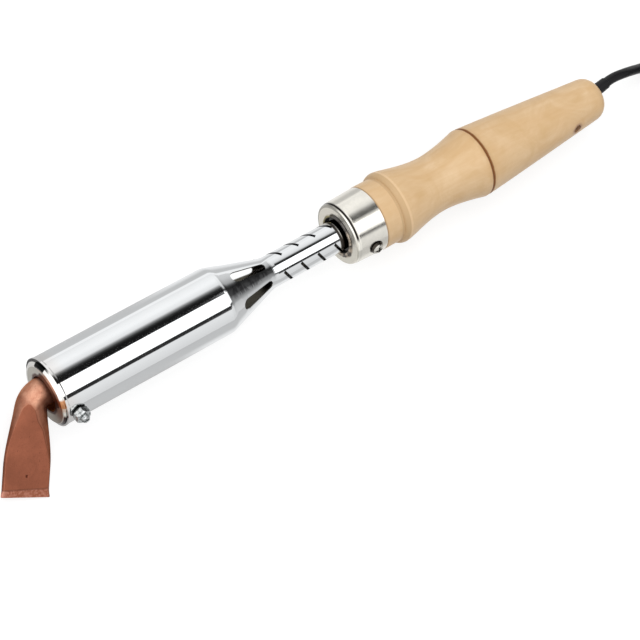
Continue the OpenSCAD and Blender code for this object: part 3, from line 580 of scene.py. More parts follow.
class IRON_OT_cord(bpy.types.Operator):
    """Lays the cord from the handle down to the table, round its coil and into the plug"""

    bl_idname = "iron.cord"
    bl_label = "Cord"

    def execute(self, context):
        size = settings("iron_cord")
        route = [on_table(*p) for p in CORD_START] + coil_route(size.coil_radius / MM) + [on_table(*p) for p in CORD_END]
        line = bpy.data.curves.new("cord_line", "CURVE")
        line.dimensions = "3D"
        line.bevel_depth = size.diameter / 2
        line.bevel_resolution = 5
        line.resolution_u = 5
        line.use_fill_caps = True
        spline = line.splines.new("BEZIER")
        spline.bezier_points.add(len(route) - 1)
        for knot, place in zip(spline.bezier_points, route):
            knot.co = place
            knot.handle_left_type = knot.handle_right_type = "AUTO"
        cord = bpy.data.objects.new("cord_line", line)
        context.scene.collection.objects.link(cord)
        wear(cord, rubber_finish())
        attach(cord, "iron")
        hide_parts("cord", "cord_coil", "cord_end")
        return {"FINISHED"}


def rubber_finish():
    found = bpy.data.materials.get("cord_rubber")
    if found:
        return found
    colour = settings("iron_colours").rubber
    f = Finish("cord_rubber", colour, roughness=0.42, specular_ior_level=0.22)
    grain = f.noise(0.9, 4, 0.6)
    smear = f.noise(0.06, 3, 0.5)
    f.set(
        Base_Color=f.mix(f.ramp(smear, (0.35, 0), (0.75, 1)), colour, shade(colour, 1.9)),
        Roughness=f.between(smear, 0.34, 0.5),
        Normal=f.bump(grain, 0.02),
    )
    return f.material


# The bit: a round copper bar, bent, spread and hammered flat on both sides.

BEND_RADIUS, BEND_ANGLE, BEND_AHEAD = 8.0, math.radians(63), 6.9
BEND_CUT = BEND_RADIUS * math.tan(BEND_ANGLE / 2)
ARC = BEND_RADIUS * BEND_ANGLE
BIT_TURN = math.radians(21.5958)
BEVEL = 3.6
SHANK_Y, SHANK_Z = 1.9 * math.cos(math.radians(31)), -1.9 * math.sin(math.radians(31))


def ease(t):
    t = min(max(t, 0.0), 1.0)
    return t * t * (3 - 2 * t)


def blend(a, b, t):
    return a + (b - a) * t


def middle(s):
    """A point of the bar's middle line and the direction's angle, in the plane of the bend."""
    t = min(max(s / ARC, 0.0), 1.0) * BEND_ANGLE
    start = -(BEND_AHEAD - BEND_CUT)
    x, y = start - BEND_RADIUS * math.sin(t), BEND_RADIUS * (math.cos(t) - 1)
    if s > ARC:
        x, y = x - (s - ARC) * math.cos(t), y - (s - ARC) * math.sin(t)
    elif s < 0:
        x = start - s
    return x, y, t


def in_tool(x, y, z):
    """From the shank's own frame to millimetres from the barrel's mouth."""
    c, s = math.cos(BIT_TURN), math.sin(BIT_TURN)
    return (x, SHANK_Y + y * c - z * s, SHANK_Z + y * s + z * c)


ROUND = (0, 0.2, 0.4, 0.6, 0.8, 0.95, 1)
FLAT_ENDS = (
    (3.4, 27, 34), (4.0, 15, 44), (5.0, 8, 50), (6.6, 3, 54), (9.4, -4, 58), (12.6, -20, 62), (14, -27, 64),
    (18.4, -37, 69), (22, -46, 71), (27, -58, 71), (33, -71, 71),
)


def flat_angles(c):
    """Between which angles of the bar's section the flat lies, in degrees, at a distance from the bend's corner."""
    for (c0, low0, high0), (c1, low1, high1) in zip(FLAT_ENDS, FLAT_ENDS[1:]):
        if c < c1:
            t = max(0.0, (c - c0) / (c1 - c0))
            return blend(low0, low1, t), blend(high0, high1, t)
    return FLAT_ENDS[-1][1:]


def section(s, size):
    """Half of the bar's section at a distance along it, and how deep the flat is cut there."""
    shank, thick = size.shank / MM, size.thickness / MM / 2
    c = s - ARC + BEND_CUT
    end = size.length / MM
    ground = max(0.0, (c - end + BEVEL) / BEVEL)
    wide = blend(shank, size.width / MM / 2, ease(s / 34)) + 0.4 * ground
    deep = blend(shank, 3.6, ease((s - 6) / 26))
    last = math.degrees(math.acos(thick / 3.6))
    low, high = (min(max(a, -last), last) for a in flat_angles(c))
    room = ((high - low) / 10) ** 2 if c > FLAT_ENDS[0][0] else 0
    low, high = math.radians(low), math.radians(high)
    bevel = blend(1, size.edge / size.thickness, ground)

    def point(a):
        return Vector((wide * math.sin(a), bevel * deep * math.cos(a)))

    near = [point(blend(math.pi / 2, high, i)) for i in ROUND]
    over = [near[-1].lerp(point(low), i) for i in (0.05, 0.35, 0.65, 0.95)]
    return near + over + [point(blend(low, -math.pi / 2, 1 - i)) for i in reversed(ROUND[1:])], room


class IRON_OT_bit(bpy.types.Operator):
    """Forges the copper bit: its section changes all the way, so its rings are placed in code and skinned"""

    bl_idname = "iron.bit"
    bl_label = "Copper bit"

    def execute(self, context):
        size = settings("iron_bit")
        total = ARC + size.length / MM - BEND_CUT
        shank_end = (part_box("copper_bit")[1].x - MOUTH.x) / MM
        back = [shank_end, shank_end - 0.25, shank_end - 1.2, 60, 40, 20, 6, 2]
        trim = [0.86, 0.95, 1, 1, 1, 1, 1, 1]
        places = [(-(x + BEND_AHEAD - BEND_CUT), k, 0) for x, k in zip(back, trim)]
        places += [(i * (total - BEVEL) / 60, 1, 2.0 * ease(i / 15 - 3)) for i in range(61)]
        places += [(total - BEVEL / 2, 1, 0.8), (total - 0.3, 1, -0.4), (total, 0.97, -0.5)]
        rings, depths = [], []
        for s, k, lean in places:
            half, room = section(s, size)
            x, y, turn = middle(s)
            skew = math.tan(math.radians(lean))
            ring = [p * k for p in half] + [-p * k for p in half]
            burr = 0.5 * ease((s - total + 2.2) / 2.2)
            ring = [Vector((p.x - burr, p.y)) if p.x < -9 else p for p in ring]
            rings.append([
                on_axis(*in_tool(
                    x - p.x * (math.sin(turn) + skew * math.cos(turn)), y + p.x * (math.cos(turn) - skew * math.sin(turn)), p.y
                )) for p in ring
            ])
            depths.append(room)
        n = len(rings[0])
        faces = [
            (k * n + j, k * n + (j + 1) % n, (k + 1) * n + (j + 1) % n, (k + 1) * n + j)
            for k in range(len(rings) - 1) for j in range(n)
        ]
        faces += [tuple(range(n)), tuple(range(len(rings) * n - n, len(rings) * n))]
        mesh = bpy.data.meshes.new("forged_bit")
        mesh.from_pydata([p for ring in rings for p in ring], [], faces)
        bit = bpy.data.objects.new("forged_bit", mesh)
        context.scene.collection.objects.link(bit)
        flat = mesh.attributes.new("hammered", "FLOAT", "POINT")
        for i, item in enumerate(flat.data):
            j = i % (n // 2)
            item.value = (1.0 if 6 <= j <= 11 else 0.3 if j in (5, 12) else 0.0) if depths[i // n] > 0 else 0.0
        creases = mesh.attributes.new("crease_edge", "FLOAT", "EDGE")
        bevel_ring, last = len(places) - 4, len(places) - 1
        for edge in mesh.edges:
            (k0, j0), (k1, j1) = (divmod(v, n) for v in edge.vertices)
            if j0 == j1 and j0 % (n // 2) in (6, 11):
                creases.data[edge.index].value = min(0.9, 0.3 * min(depths[k0], depths[k1]) ** 0.5)
            elif k0 == k1 == bevel_ring and all(6 <= j % (n // 2) <= 11 for j in (j0, j1)):
                creases.data[edge.index].value = 0.7
            elif k0 == k1 == last:
                creases.data[edge.index].value = 0.6
        modify(bit, "SUBSURF", levels=2, render_levels=2)
        done(bit, 32)
        wear(bit, self.copper())
        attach(bit, "bit")
        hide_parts("copper_bit")
        return {"FINISHED"}

    def copper(self):
        colour = settings("iron_colours").copper
        f = Finish("forged_copper", colour, metallic=0.9, specular_tint=(1.0, 0.60, 0.42, 1.0))
        c, s, a = math.cos(BIT_TURN), math.sin(BIT_TURN), BEND_ANGLE
        way = (-math.cos(a), -math.sin(a) * c, -math.sin(a) * s)
        run = f.node("ShaderNodeVectorMath", {"operation": "DOT_PRODUCT"}, i0=f.place, i1=way).outputs["Value"]
        corner = Vector(in_tool(-BEND_AHEAD, 0, 0))
        run = f.maths("SUBTRACT", run, corner.dot(Vector(way)))
        side = (-math.sin(a), math.cos(a) * c, math.cos(a) * s)
        across = f.node("ShaderNodeVectorMath", {"operation": "DOT_PRODUCT"}, i0=f.place, i1=side).outputs["Value"]
        across = f.maths("SUBTRACT", across, corner.dot(Vector(side)))
        run = f.maths("MULTIPLY_ADD", across, -math.tan(math.radians(2)), run)
        flat = f.node("ShaderNodeAttribute", {"attribute_name": "hammered"}).outputs["Fac"]
        cloud = f.noise(0.12, 5, 0.6)
        grain = f.noise(1.4, 5, 0.7)
        dents = f.noise(0.35, 3, 0.5)
        clean = f.mix(f.ramp(cloud, (0.35, 0), (0.68, 1)), shade(colour, 0.88), shade(colour, 1.1))
        # Near the root of the bend the rounds are painted lighter and pinker: a painted highlight.
        top = f.reach(f.maths("ADD", run, f.maths("MULTIPLY", f.maths("ABSOLUTE", f.maths("ADD", across, -0.8)), 1.1)), 1, 8)
        highlight_zone = f.maths("MAXIMUM", top, f.maths("MULTIPLY", f.reach(run, 6, 16), 0.35))
        # The rounds are darker than the flats: oxide, and painted shade on the flanks.
        oxide_and_flank_shade = f.mix(f.ramp(cloud, (0.38, 0), (0.62, 1)), shade(colour, 0.58), shade(colour, 0.98))
        painted_highlight = f.mix(f.ramp(f.noise(0.25, 4, 0.6), (0.35, 0), (0.65, 1)), (0.46, 0.20, 0.125), (0.64, 0.335, 0.225))
        oxide_and_flank_shade = f.mix(highlight_zone, oxide_and_flank_shade, painted_highlight)
        # The shoulder beside each flat is lighter: burnish, and a painted highlight.
        ridge = f.reach(f.maths("ABSOLUTE", f.maths("SUBTRACT", flat, 0.3)), 0.08, 0.26)
        oxide_and_flank_shade = f.mix(f.maths("MULTIPLY", ridge, 0.5), oxide_and_flank_shade, (0.42, 0.165, 0.10))
        colours = f.mix(f.over(flat, 0.5, 0.8), oxide_and_flank_shade, clean)
        colours = f.mix(f.ramp(grain, (0.52, 0), (0.75, 0.35)), colours, shade(colour, 0.55))
        # A dark line along the flats' creases, strongest on the right-hand flank: painted shade.
        line = f.reach(f.maths("ABSOLUTE", f.maths("SUBTRACT", flat, 0.7)), 0.06, 0.22)
        right = f.reach(across, -2.5, 1.5)
        line = f.maths("MULTIPLY", line, f.maths("MULTIPLY_ADD", right, 0.5, 0.12))
        colours = f.mix(line, colours, shade(colour, 0.30))
        ground = settings("iron_bit").length / MM - BEVEL
        bevel = f.over(run, ground - 0.4, ground + 0.2)
        spots = f.mix(f.ramp(f.noise(0.9, 3, 0.6), (0.42, 0), (0.60, 1)), shade(colour, 1.0), (0.47, 0.20, 0.14))
        # Toward one end the bevel is painted pinker and lighter: a painted highlight.
        spots = f.mix(f.maths("MULTIPLY", f.over(across, 8, 11), 0.7), spots, (0.62, 0.30, 0.23))
        colours = f.mix(f.maths("MULTIPLY", bevel, 0.8), colours, spots)
        border = f.reach(f.maths("ABSOLUTE", f.maths("SUBTRACT", run, ground)), 0.15, 0.6)
        colours = f.mix(f.maths("MULTIPLY", border, 0.5), colours, shade(colour, 0.35))
        # The hollow inside the bend is painted near-black: painted shade.
        hollow = in_tool(-2, -8, 0)
        away = f.node("ShaderNodeVectorMath", {"operation": "CROSS_PRODUCT"}, i0=f.node(
            "ShaderNodeVectorMath", {"operation": "SUBTRACT"}, i0=f.place, i1=hollow).outputs[0], i1=(0, -s, c)).outputs[0]
        bent = f.reach(f.node("ShaderNodeVectorMath", {"operation": "LENGTH"}, i0=away).outputs["Value"], 1.3, 2.3)
        colours = f.mix(f.maths("MULTIPLY", bent, f.ramp(grain, (0.35, 0.95), (0.7, 0.7))), colours, (0.045, 0.017, 0.010))
        x, y, turn = middle(ARC - BEND_CUT + 34.3)
        pit_at = in_tool(x - 0.2 * math.sin(turn), y + 0.2 * math.cos(turn), 1.2)
        pit = f.reach(f.far(pit_at), 0.25, 0.75)
        colours = f.mix(f.maths("MULTIPLY", pit, 0.8), colours, (0.12, 0.022, 0.012))
        nicks = f.ramp(f.noise(0.7, 2, 0.4), (0.70, 0), (0.76, 1))
        relief = f.bump(dents, 0.10)
        relief = f.bump(grain, 0.02, normal=relief)
        relief = f.bump(f.maths("MULTIPLY", f.maths("ADD", pit, f.maths("MULTIPLY", nicks, 0.25)), -1.0), 0.5, normal=relief)
        rough = f.maths("MULTIPLY_ADD", f.maths("MULTIPLY", highlight_zone, f.reach(flat, 0.3, 0.7)), -0.10, f.between(grain, 0.36, 0.52))
        return f.set(Base_Color=colours, Roughness=rough, Normal=relief)


# Screws: modelled upright on the Z axis, then stood at their angle round the tool.


SCREW_TURN, CLAMP_X, FERRULE_SCREW_X, BEAD_X = 31, 5.6, 167.9, 184.2


class IRON_OT_clamp(bpy.types.Operator):
    """Makes the slotted clamp screw with its thread, and its lock nut"""

    bl_idname = "iron.clamp"
    bl_label = "Clamp screw and nut"

    def execute(self, context):
        size = settings("iron_screws")
        steel = self.steel()
        foot, top, core = 4.9 * MM, 22.1 * MM, size.clamp_radius - 0.27 * MM

        screw = round_bar(core, foot, top)
        screw.name = screw.data.name = "threaded_clamp_screw"
        mesh = edit(screw)
        choose(screw, mesh, lambda e: abs(e.verts[0].co.z - e.verts[1].co.z) < 1e-7, "edges")
        bpy.ops.mesh.bevel(offset=0.45 * MM, segments=2, affect="EDGES")
        deselect()
        cut(screw, block((-4 * MM, 4 * MM), (-0.4 * MM, 0.4 * MM), (top - 1.0 * MM, top + 1 * MM)))

        turns = int((top - foot - 1.5 * MM) / size.pitch)
        bpy.ops.mesh.primitive_circle_add(
            vertices=3, radius=0.4 * MM, fill_type="NGON",
            location=(core + 0.07 * MM, 0, foot + 0.8 * MM), rotation=(math.pi / 2, -math.pi / 2, 0),
        )
        thread = settle(bpy.context.object)
        modify(
            thread, "SCREW", angle=2 * math.pi, screw_offset=size.pitch, iterations=turns, steps=20, render_steps=20,
            use_normal_calculate=True,
        )
        edit(thread)
        bpy.ops.mesh.select_all(action="SELECT")
        bpy.ops.mesh.fill_holes(sides=4)
        done(thread, 40)
        done(screw, 35)
        join(screw, thread)
        stand(screw, SCREW_TURN, CLAMP_X)
        wear(screw, steel)
        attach(screw, "screw")
        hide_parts("clamp_screw")

        low, high = 16.25 * MM, 20.0 * MM
        nut = round_bar(size.nut_width / math.sqrt(3), low, high, 6)
        nut.name = nut.data.name = "chamfered_lock_nut"
        rounder = round_bar(size.nut_width / math.sqrt(3), low, high, 64)
        mesh = edit(rounder)
        choose(rounder, mesh, lambda e: abs(e.verts[0].co.z - e.verts[1].co.z) < 1e-7, "edges")
        bpy.ops.mesh.bevel(offset=0.55 * MM, segments=1, affect="EDGES")
        deselect()
        cut(nut, rounder, "INTERSECT")
        cut(nut, round_bar(size.clamp_radius + 0.05 * MM, low - 1 * MM, high + 1 * MM, 40))
        soften(nut, 0.12 * MM, 2, 25)
        done(nut, 35)
        stand(nut, SCREW_TURN, CLAMP_X)
        wear(nut, steel)
        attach(nut, "nut")
        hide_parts("clamp_nut")
        return {"FINISHED"}

    def steel(self):
        """Bright steel, with painted shade near the barrel and dark spots."""
        colour = settings("iron_colours").steel
        f = Finish("bright_steel", colour, metallic=1.0)
        u, v, w = screw_axis(f, *f.parts(), CLAMP_X, SCREW_TURN)
        # Painted shade on the screw and nut next to the barrel.
        painted_shade = f.reach(f.maths("ADD", w, f.noise(0.6, 3)), 17.3, 17.8)
        spots = f.ramp(f.noise(0.8, 4, 0.6), (0.50, 0), (0.60, 1))
        fine = f.noise(2.0, 4)
        base = f.mix(f.maths("MULTIPLY", spots, 0.8), colour, (0.16, 0.17, 0.17))
        base = f.mix(painted_shade, base, (0.035, 0.038, 0.038))
        return f.set(Base_Color=base, Roughness=f.between(fine, 0.08, 0.22), Normal=f.bump(spots, 0.02))


class IRON_OT_ferrule_screws(bpy.types.Operator):
    """Makes the two domed cross-head screws that hold the ferrule on the handle"""

    bl_idname = "iron.ferrule_screws"
    bl_label = "Ferrule screws"

    def execute(self, context):
        radius = settings("iron_screws").head_radius
        low = 15.80 * MM
        screw = round_bar(radius, low, low + 0.57 * MM)
        screw.name = screw.data.name = "ferrule_screw_pair"
        mesh = edit(screw)
        choose(screw, mesh, lambda f: f.normal.z > 0.9)
        for share, rise in ((0.08, 0.62), (0.14, 0.50), (0.18, 0.38), (0.2, 0.23)):
            bpy.ops.mesh.inset(thickness=radius * share)
            bpy.ops.transform.translate(value=(0, 0, rise * MM))
        mesh = bmesh.from_edit_mesh(screw.data)
        choose(screw, mesh, lambda f: f.normal.z < -0.9)
        bpy.ops.mesh.inset(thickness=radius - 1.3 * MM)
        bpy.ops.mesh.extrude_region_move(TRANSFORM_OT_translate={"value": (0, 0, -4 * MM)})
        bpy.ops.mesh.extrude_region_move(TRANSFORM_OT_translate={"value": (0, 0, -1.2 * MM)})
        bpy.ops.transform.resize(value=(0.25, 0.25, 1))
        deselect()
        top = low + 2.3 * MM
        for x, y in ((1.8, 0.42), (0.42, 1.8)):
            bar = block((-x * MM, x * MM), (-y * MM, y * MM), (top - 1.0 * MM, top + 1 * MM))
            mesh = edit(bar)
            choose(bar, mesh, lambda f: f.normal.z < -0.9)
            bpy.ops.transform.resize(value=(0.62, 0.62, 1))
            deselect()
            cut(screw, bar)
        soften(screw, 0.07 * MM, 2, 38)
        done(screw, 38)
        focus(screw)
        bpy.ops.object.duplicate()
        other = bpy.context.object
        edit(other)
        bpy.ops.mesh.select_all(action="SELECT")
        bpy.ops.transform.translate(value=(0, 0, -1.3 * MM))
        deselect()
        stand(screw, SCREW_TURN, FERRULE_SCREW_X)
        stand(other, SCREW_TURN + 180, FERRULE_SCREW_X)
        join(screw, other)
        wear(screw, self.plate())
        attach(screw, "iron")
        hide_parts("ferrule_screws")
        return {"FINISHED"}

    def plate(self):
        """Nickel, with painted shade in the cross and round the head's edge."""
        colour = settings("iron_colours").nickel
        f = Finish("screw_nickel", colour, metallic=1.0)
        u, v, w = screw_axis(f, *f.parts(), FERRULE_SCREW_X, SCREW_TURN)
        u, v, w = (f.maths("ABSOLUTE", way) for way in (u, v, w))
        bars = [
            f.maths("MULTIPLY", f.reach(a, 0.42, 0.52), f.reach(b, 1.7, 1.85)) for a, b in ((u, v), (v, u))
        ]
        # The cross and the ring round the head's edge are painted dark: painted shade.
        painted_dark = f.maths("MAXIMUM", f.maths("MAXIMUM", *bars), f.over(f.radius(u, v), 2.5, 2.8))
        spots = f.ramp(f.noise(1.2, 4, 0.6), (0.4, 0), (0.65, 1))
        base = f.mix(spots, shade(colour, 0.55), shade(colour, 0.95))
        base = f.mix(painted_dark, base, (0.05, 0.043, 0.036))
        return f.set(Base_Color=base, Roughness=f.between(spots, 0.16, 0.32), Normal=f.bump(spots, 0.01))


# What is on the cord.


class IRON_OT_tie(bpy.types.Operator):
    """Wraps the woven strap round the coil, its end lapped over and stitched down"""

    bl_idname = "iron.tie"
    bl_label = "Coil tie"

    def execute(self, context):
        size = settings("iron_cord")
        half = size.tie_width / 2
        x = (on_table(388, 0, 0).x - half, on_table(388, 0, 0).x + half)
        near, far = on_table(0, -27 - 17.175, 0).y, on_table(0, -27 - 32.025, 0).y
        strap = block(x, (far, near), (0.8 * MM, 22.4 * MM))
        strap.name = strap.data.name = "tie_strap"
        mesh = edit(strap)
        choose(strap, mesh, lambda f: abs(f.normal.x) > 0.9)
        bpy.ops.mesh.delete(type="FACE")
        mesh = bmesh.from_edit_mesh(strap.data)
        choose(strap, mesh, lambda e: abs(e.verts[0].co.x - e.verts[1].co.x) > half, "edges")
        bpy.ops.mesh.bevel(offset=2.2 * MM, segments=5, affect="EDGES")
        bpy.ops.mesh.select_all(action="SELECT")
        bpy.ops.mesh.normals_make_consistent(inside=False)
        deselect()
        modify(strap, "SOLIDIFY", thickness=0.8 * MM, offset=1, use_even_offset=True)
        soften(strap, 0.22 * MM, 2, 50)
        done(strap, 40)
        lap = block((x[0] + 0.15 * MM, x[1] - 0.15 * MM), (far - 1.55 * MM, far - 0.75 * MM), (8 * MM, 19.4 * MM))
        soften(lap, 0.22 * MM, 2)
        done(lap, 40)
        stitches = []
        for low in (9.2, 17.4):
            for k in range(4):
                at = x[0] + (0.9 + 1.4 * k) * MM
                stitch = block((at - 0.42 * MM, at + 0.42 * MM), (far - 1.72 * MM, far - 1.4 * MM), (low * MM, (low + 0.4) * MM))
                stitches.append(soften(stitch, 0.12 * MM, 2))
        join(strap, lap, *stitches)
        wear(strap, woven("strap_weave", (0.035, 0.035, 0.038), 0.8, (1, 0, 0), (0, 1, 1), 0.12, 0.8))
        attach(strap, "iron")
        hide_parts("coil_tie")
        return {"FINISHED"}


class IRON_OT_plug(bpy.types.Operator):
    """Moulds the plug: a tapered body with finger ribs, and a ringed strain relief round the cord"""

    bl_idname = "iron.plug"
    bl_label = "Plug"

    def execute(self, context):
        x0, x1 = on_table(456, 0, 0).x, on_table(481, 0, 0).x
        y, z = on_table(0, 1, 0).y, 6.8 * MM
        body = block((x0, x1), (y - 17 * MM, y + 17 * MM), (0, 2 * z))
        body.name = body.data.name = "plug_shell"
        mesh = edit(body)
        choose(body, mesh, lambda f: f.normal.x > 0.9)
        bpy.ops.transform.resize(value=(1, 1, 0.78))
        mesh = bmesh.from_edit_mesh(body.data)
        choose(body, mesh, lambda f: f.normal.x < -0.9)
        bpy.ops.mesh.extrude_region_move(TRANSFORM_OT_translate={"value": (-7 * MM, 0, 0)})
        bpy.ops.transform.resize(value=(1, 0.42, 0.86))
        deselect()
        soften(body, 3.2 * MM, 5, 12)
        done(body, 25)

        ribs = []
        for side in (-1, 1):
            for k in range(6):
                at = on_table(459.5 + 2.6 * k, 0, 0).x
                reach = y + side * 17 * MM
                rib = block((at - 0.6 * MM, at + 0.6 * MM), sorted((reach - side * 1.5 * MM, reach + side * 0.35 * MM)), (z - 3.6 * MM, z + 3.6 * MM))
                ribs.append(done(soften(rib, 0.4 * MM, 3), 40))

        bpy.ops.mesh.primitive_cylinder_add(
            vertices=40, radius=5.6 * MM, depth=4 * MM, rotation=(0, math.pi / 2, 0), location=(on_table(450, 0, 0).x, y, z)
        )
        relief = settle(bpy.context.object)
        mesh = edit(relief)
        choose(relief, mesh, lambda f: f.normal.x < -0.9)
        radius = 5.6
        for k in range(7):
            groove, ridge = radius * 0.84, 5.3 - 0.26 * k
            for step, target in ((-0.12, groove), (-0.9, groove), (-0.12, ridge), (-1.35, ridge - 0.08)):
                bpy.ops.mesh.extrude_region_move(TRANSFORM_OT_translate={"value": (step * MM, 0, 0)})
                bpy.ops.transform.resize(value=(1, target / radius, target / radius))
                radius = target
        deselect()
        soften(relief, 0.16 * MM, 2, 40)
        done(relief, 30)
        join(body, relief, *ribs)
        plastic = plain("plug_plastic", settings("iron_colours").plug, 0.42, 2.5, 0.02, 0.8)
        wear(body, plastic)
        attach(body, "iron")
        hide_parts("plug_body")
        dress(metal("pin_plate", settings("iron_colours").steel, (0.14, 0.28), 0.003, (0.2, 2, 2), (0.5, 0.47, 0.40)), "plug_pins")
        return {"FINISHED"}


# Finishes for the solids that stay.


def screw_axis(f, x, y, z, at, turn):
    """Places measured from a hole that looks outward at an angle: along the tool, round it and outward."""
    c, s = math.cos(math.radians(turn)), math.sin(math.radians(turn))
    round_it = f.maths("ADD", f.maths("MULTIPLY", y, s), f.maths("MULTIPLY", z, c))
    outward = f.maths("SUBTRACT", f.maths("MULTIPLY", z, s), f.maths("MULTIPLY", y, c))
    return f.maths("ADD", x, -at), round_it, outward


class IRON_OT_metalwork(bpy.types.Operator):
    """Plates the barrel, the ferrule and the nose ring"""

    bl_idname = "iron.metalwork"
    bl_label = "Barrel and ferrule"

    def execute(self, context):
        colours = settings("iron_colours")
        f = Finish("barrel_chrome", colours.chrome, metallic=1.0)
        wipe = f.noise(1.0, 5, 0.6, place=f.stretch((0.04, 0.9, 0.9)))
        cloud = f.noise(0.06, 3)
        x, y, z = f.parts()
        radius = f.radius(y, z)
        heat = f.maths("MULTIPLY", f.reach(x, 1.0, 9.0), f.over(radius, 15.2, 15.9))
        base = f.mix(cloud, shade(colours.chrome, 0.97), shade(colours.chrome, 1.02))
        base = f.mix(f.maths("MULTIPLY", heat, 0.14), base, (0.60, 0.42, 0.28))
        outer = f.maths("MULTIPLY_ADD", f.maths("MAXIMUM", f.maths("SUBTRACT", x, 89.4), 0.0), -8.6 / 28, 16.1)
        outer = f.maths("MAXIMUM", outer, 7.5)
        inner = f.over(f.maths("SUBTRACT", outer, radius), 0.25, 0.45)
        mouth = f.reach(x, 0.4, 1.0)
        inner = f.maths("MULTIPLY", inner, f.maths("SUBTRACT", 1.0, mouth))
        # The walls inside the slits and windows are painted darker, and near-black further in: painted shade.
        depths = f.mix(f.over(x, 112, 116), (0.15, 0.14, 0.115), (0.02, 0.018, 0.015))
        base = f.mix(inner, base, depths)
        angle = f.maths("ARCTAN2", y, z)
        # A grey streaked band along the top of the cone, between the windows: a painted reflection.
        smear = f.ramp(f.noise(1.0, 2, 0.5, place=f.stretch((0.42, 0.16, 0.16)), warp=0.8), (0.44, 0), (0.58, 0.7))
        cone_reflection_band = f.maths("MULTIPLY", f.reach(f.maths("ABSOLUTE", f.maths("ADD", angle, 0.06)), 0.12, 0.24), f.over(x, 90, 93))
        cone_reflection_band = f.maths("MULTIPLY", cone_reflection_band, f.reach(x, 113, 115))
        base = f.mix(f.maths("MULTIPLY", smear, cone_reflection_band), base, (0.22, 0.22, 0.23))
        # Painted shade round the slits.
        base = f.mix(self.slit_shade(f, x, y, z), base, (0.012, 0.012, 0.013))
        # The neck's end at the ferrule is painted dark, but for a thin bright ring, and near-black further in: painted
        # shade.
        gleam = f.maths("MULTIPLY", f.reach(f.maths("ABSOLUTE", f.maths("ADD", x, -155.55)), 0.10, 0.25), f.over(angle, -0.5, 0.1))
        painted_neck_shade = f.maths("MULTIPLY", f.over(x, 153.8, 154.3), f.maths("SUBTRACT", 1.0, gleam))
        base = f.mix(painted_neck_shade, base, (0.048, 0.043, 0.041))
        base = f.mix(f.over(x, 155.8, 156.0), base, (0.012, 0.011, 0.010))
        # A dark line painted round the mouth's rim, left out on top and along the bright strip: a painted reflection.
        rim = f.reach(x, 0.03, 0.16)
        front = f.maths("MULTIPLY", f.reach(f.maths("ABSOLUTE", f.maths("ADD", angle, 0.05)), 0.45, 0.6), 0.94)
        bright = f.maths("MULTIPLY", f.over(radius, 15.45, 15.65), f.reach(angle, -0.6, -0.4))
        painted_dark = f.maths("SUBTRACT", 1.0, f.maths("MAXIMUM", front, bright))
        base = f.mix(f.maths("MULTIPLY", rim, painted_dark), base, (0.012, 0.012, 0.013))
        rough = f.maths("MULTIPLY_ADD", inner, 0.36, f.between(wipe, 0.03, 0.085))
        relief = f.bump(f.noise(0.10, 2), 0.010)
        relief = f.bump(f.noise(2.2, 3, 0.5), 0.0005, normal=relief)
        dress(f.set(Base_Color=base, Roughness=rough, Normal=relief), "barrel")

        f = Finish("ferrule_nickel", colours.nickel, metallic=1.0)
        x, y, z = f.parts()
        radius = f.radius(y, z)
        around = f.noise(1.0, 6, 0.7, place=f.stretch((2.4, 0.12, 0.12)))
        cloud = f.noise(0.12, 4, 0.6)
        base = f.mix(f.ramp(cloud, (0.3, 0), (0.7, 1)), shade(colours.nickel, 0.92), shade(colours.nickel, 1.04))
        angle = f.maths("ARCTAN2", y, z)
        # The front face is painted darker than the rest of the ferrule: painted shade.
        face = f.maths("MULTIPLY", f.reach(x, 157.3, 158.2), f.reach(radius, 14.2, 14.8))
        base = f.mix(face, base, (0.66, 0.63, 0.56))
        # The rounded front edge is painted darker, more so underneath, except along a lit strip: painted shade.
        edge = f.maths("MULTIPLY", f.reach(x, 158.3, 158.5), f.over(radius, 13.6, 13.9))
        lit = f.maths("MULTIPLY", f.over(radius, 14.62, 14.72), f.reach(angle, 0.55, 0.8))
        lit = f.maths("MULTIPLY", lit, f.over(angle, -0.6, -0.4))
        upper = f.over(angle, -0.6, -0.3)
        edge_shade_tone = f.mix(upper, (0.66, 0.63, 0.56), (0.36, 0.345, 0.31))
        base = f.mix(f.maths("MULTIPLY", edge, f.maths("SUBTRACT", 1.0, lit)), base, edge_shade_tone)
        # The slope behind the edge is painted darker, most in one narrow band: painted shade.
        slope = f.maths("MULTIPLY", f.reach(x, 159.4, 160.2), f.over(x, 158.9, 159.1))
        shadow = f.reach(f.maths("ABSOLUTE", f.maths("ADD", angle, -0.18)), 0.05, 0.20)
        slope = f.maths("MULTIPLY", slope, f.maths("MULTIPLY_ADD", upper, 0.7, 0.3))
        base = f.mix(f.maths("MULTIPLY", slope, f.maths("MULTIPLY_ADD", shadow, 0.5, 0.35)), base, (0.18, 0.172, 0.155))
        # A thin dark line painted round the edge's inner side: a painted reflection.
        line = f.maths("MULTIPLY", f.reach(f.maths("ABSOLUTE", f.maths("ADD", x, -158.9)), 0.4, 0.6), f.over(angle, -0.6, -0.4))
        base = f.mix(f.maths("MULTIPLY", line, f.over(radius, 13, 13.5)), base, (0.02, 0.018, 0.016))
        # The collar round the neck is painted brown, dark on one side and paler and golden on others: painted light and
        # shade.
        reach = f.maths("MULTIPLY_ADD", f.over(angle, 0.9, 1.3), 1.4, f.maths("ADD", radius, f.noise(0.5, 3)))
        collar = f.reach(reach, 11.5, 12.3)
        collar_light_and_shade = f.mix(f.over(angle, 0.9, 1.2), f.mix(f.reach(angle, -0.35, 0.0), (0.09, 0.082, 0.08), (0.42, 0.35, 0.28)), (0.24, 0.20, 0.07))
        brown = f.mix(f.ramp(f.noise(0.35, 4, 0.6), (0.40, 0), (0.56, 1)), (0.035, 0.029, 0.026), collar_light_and_shade)
        base = f.mix(f.maths("MULTIPLY", collar, 0.94), base, brown)
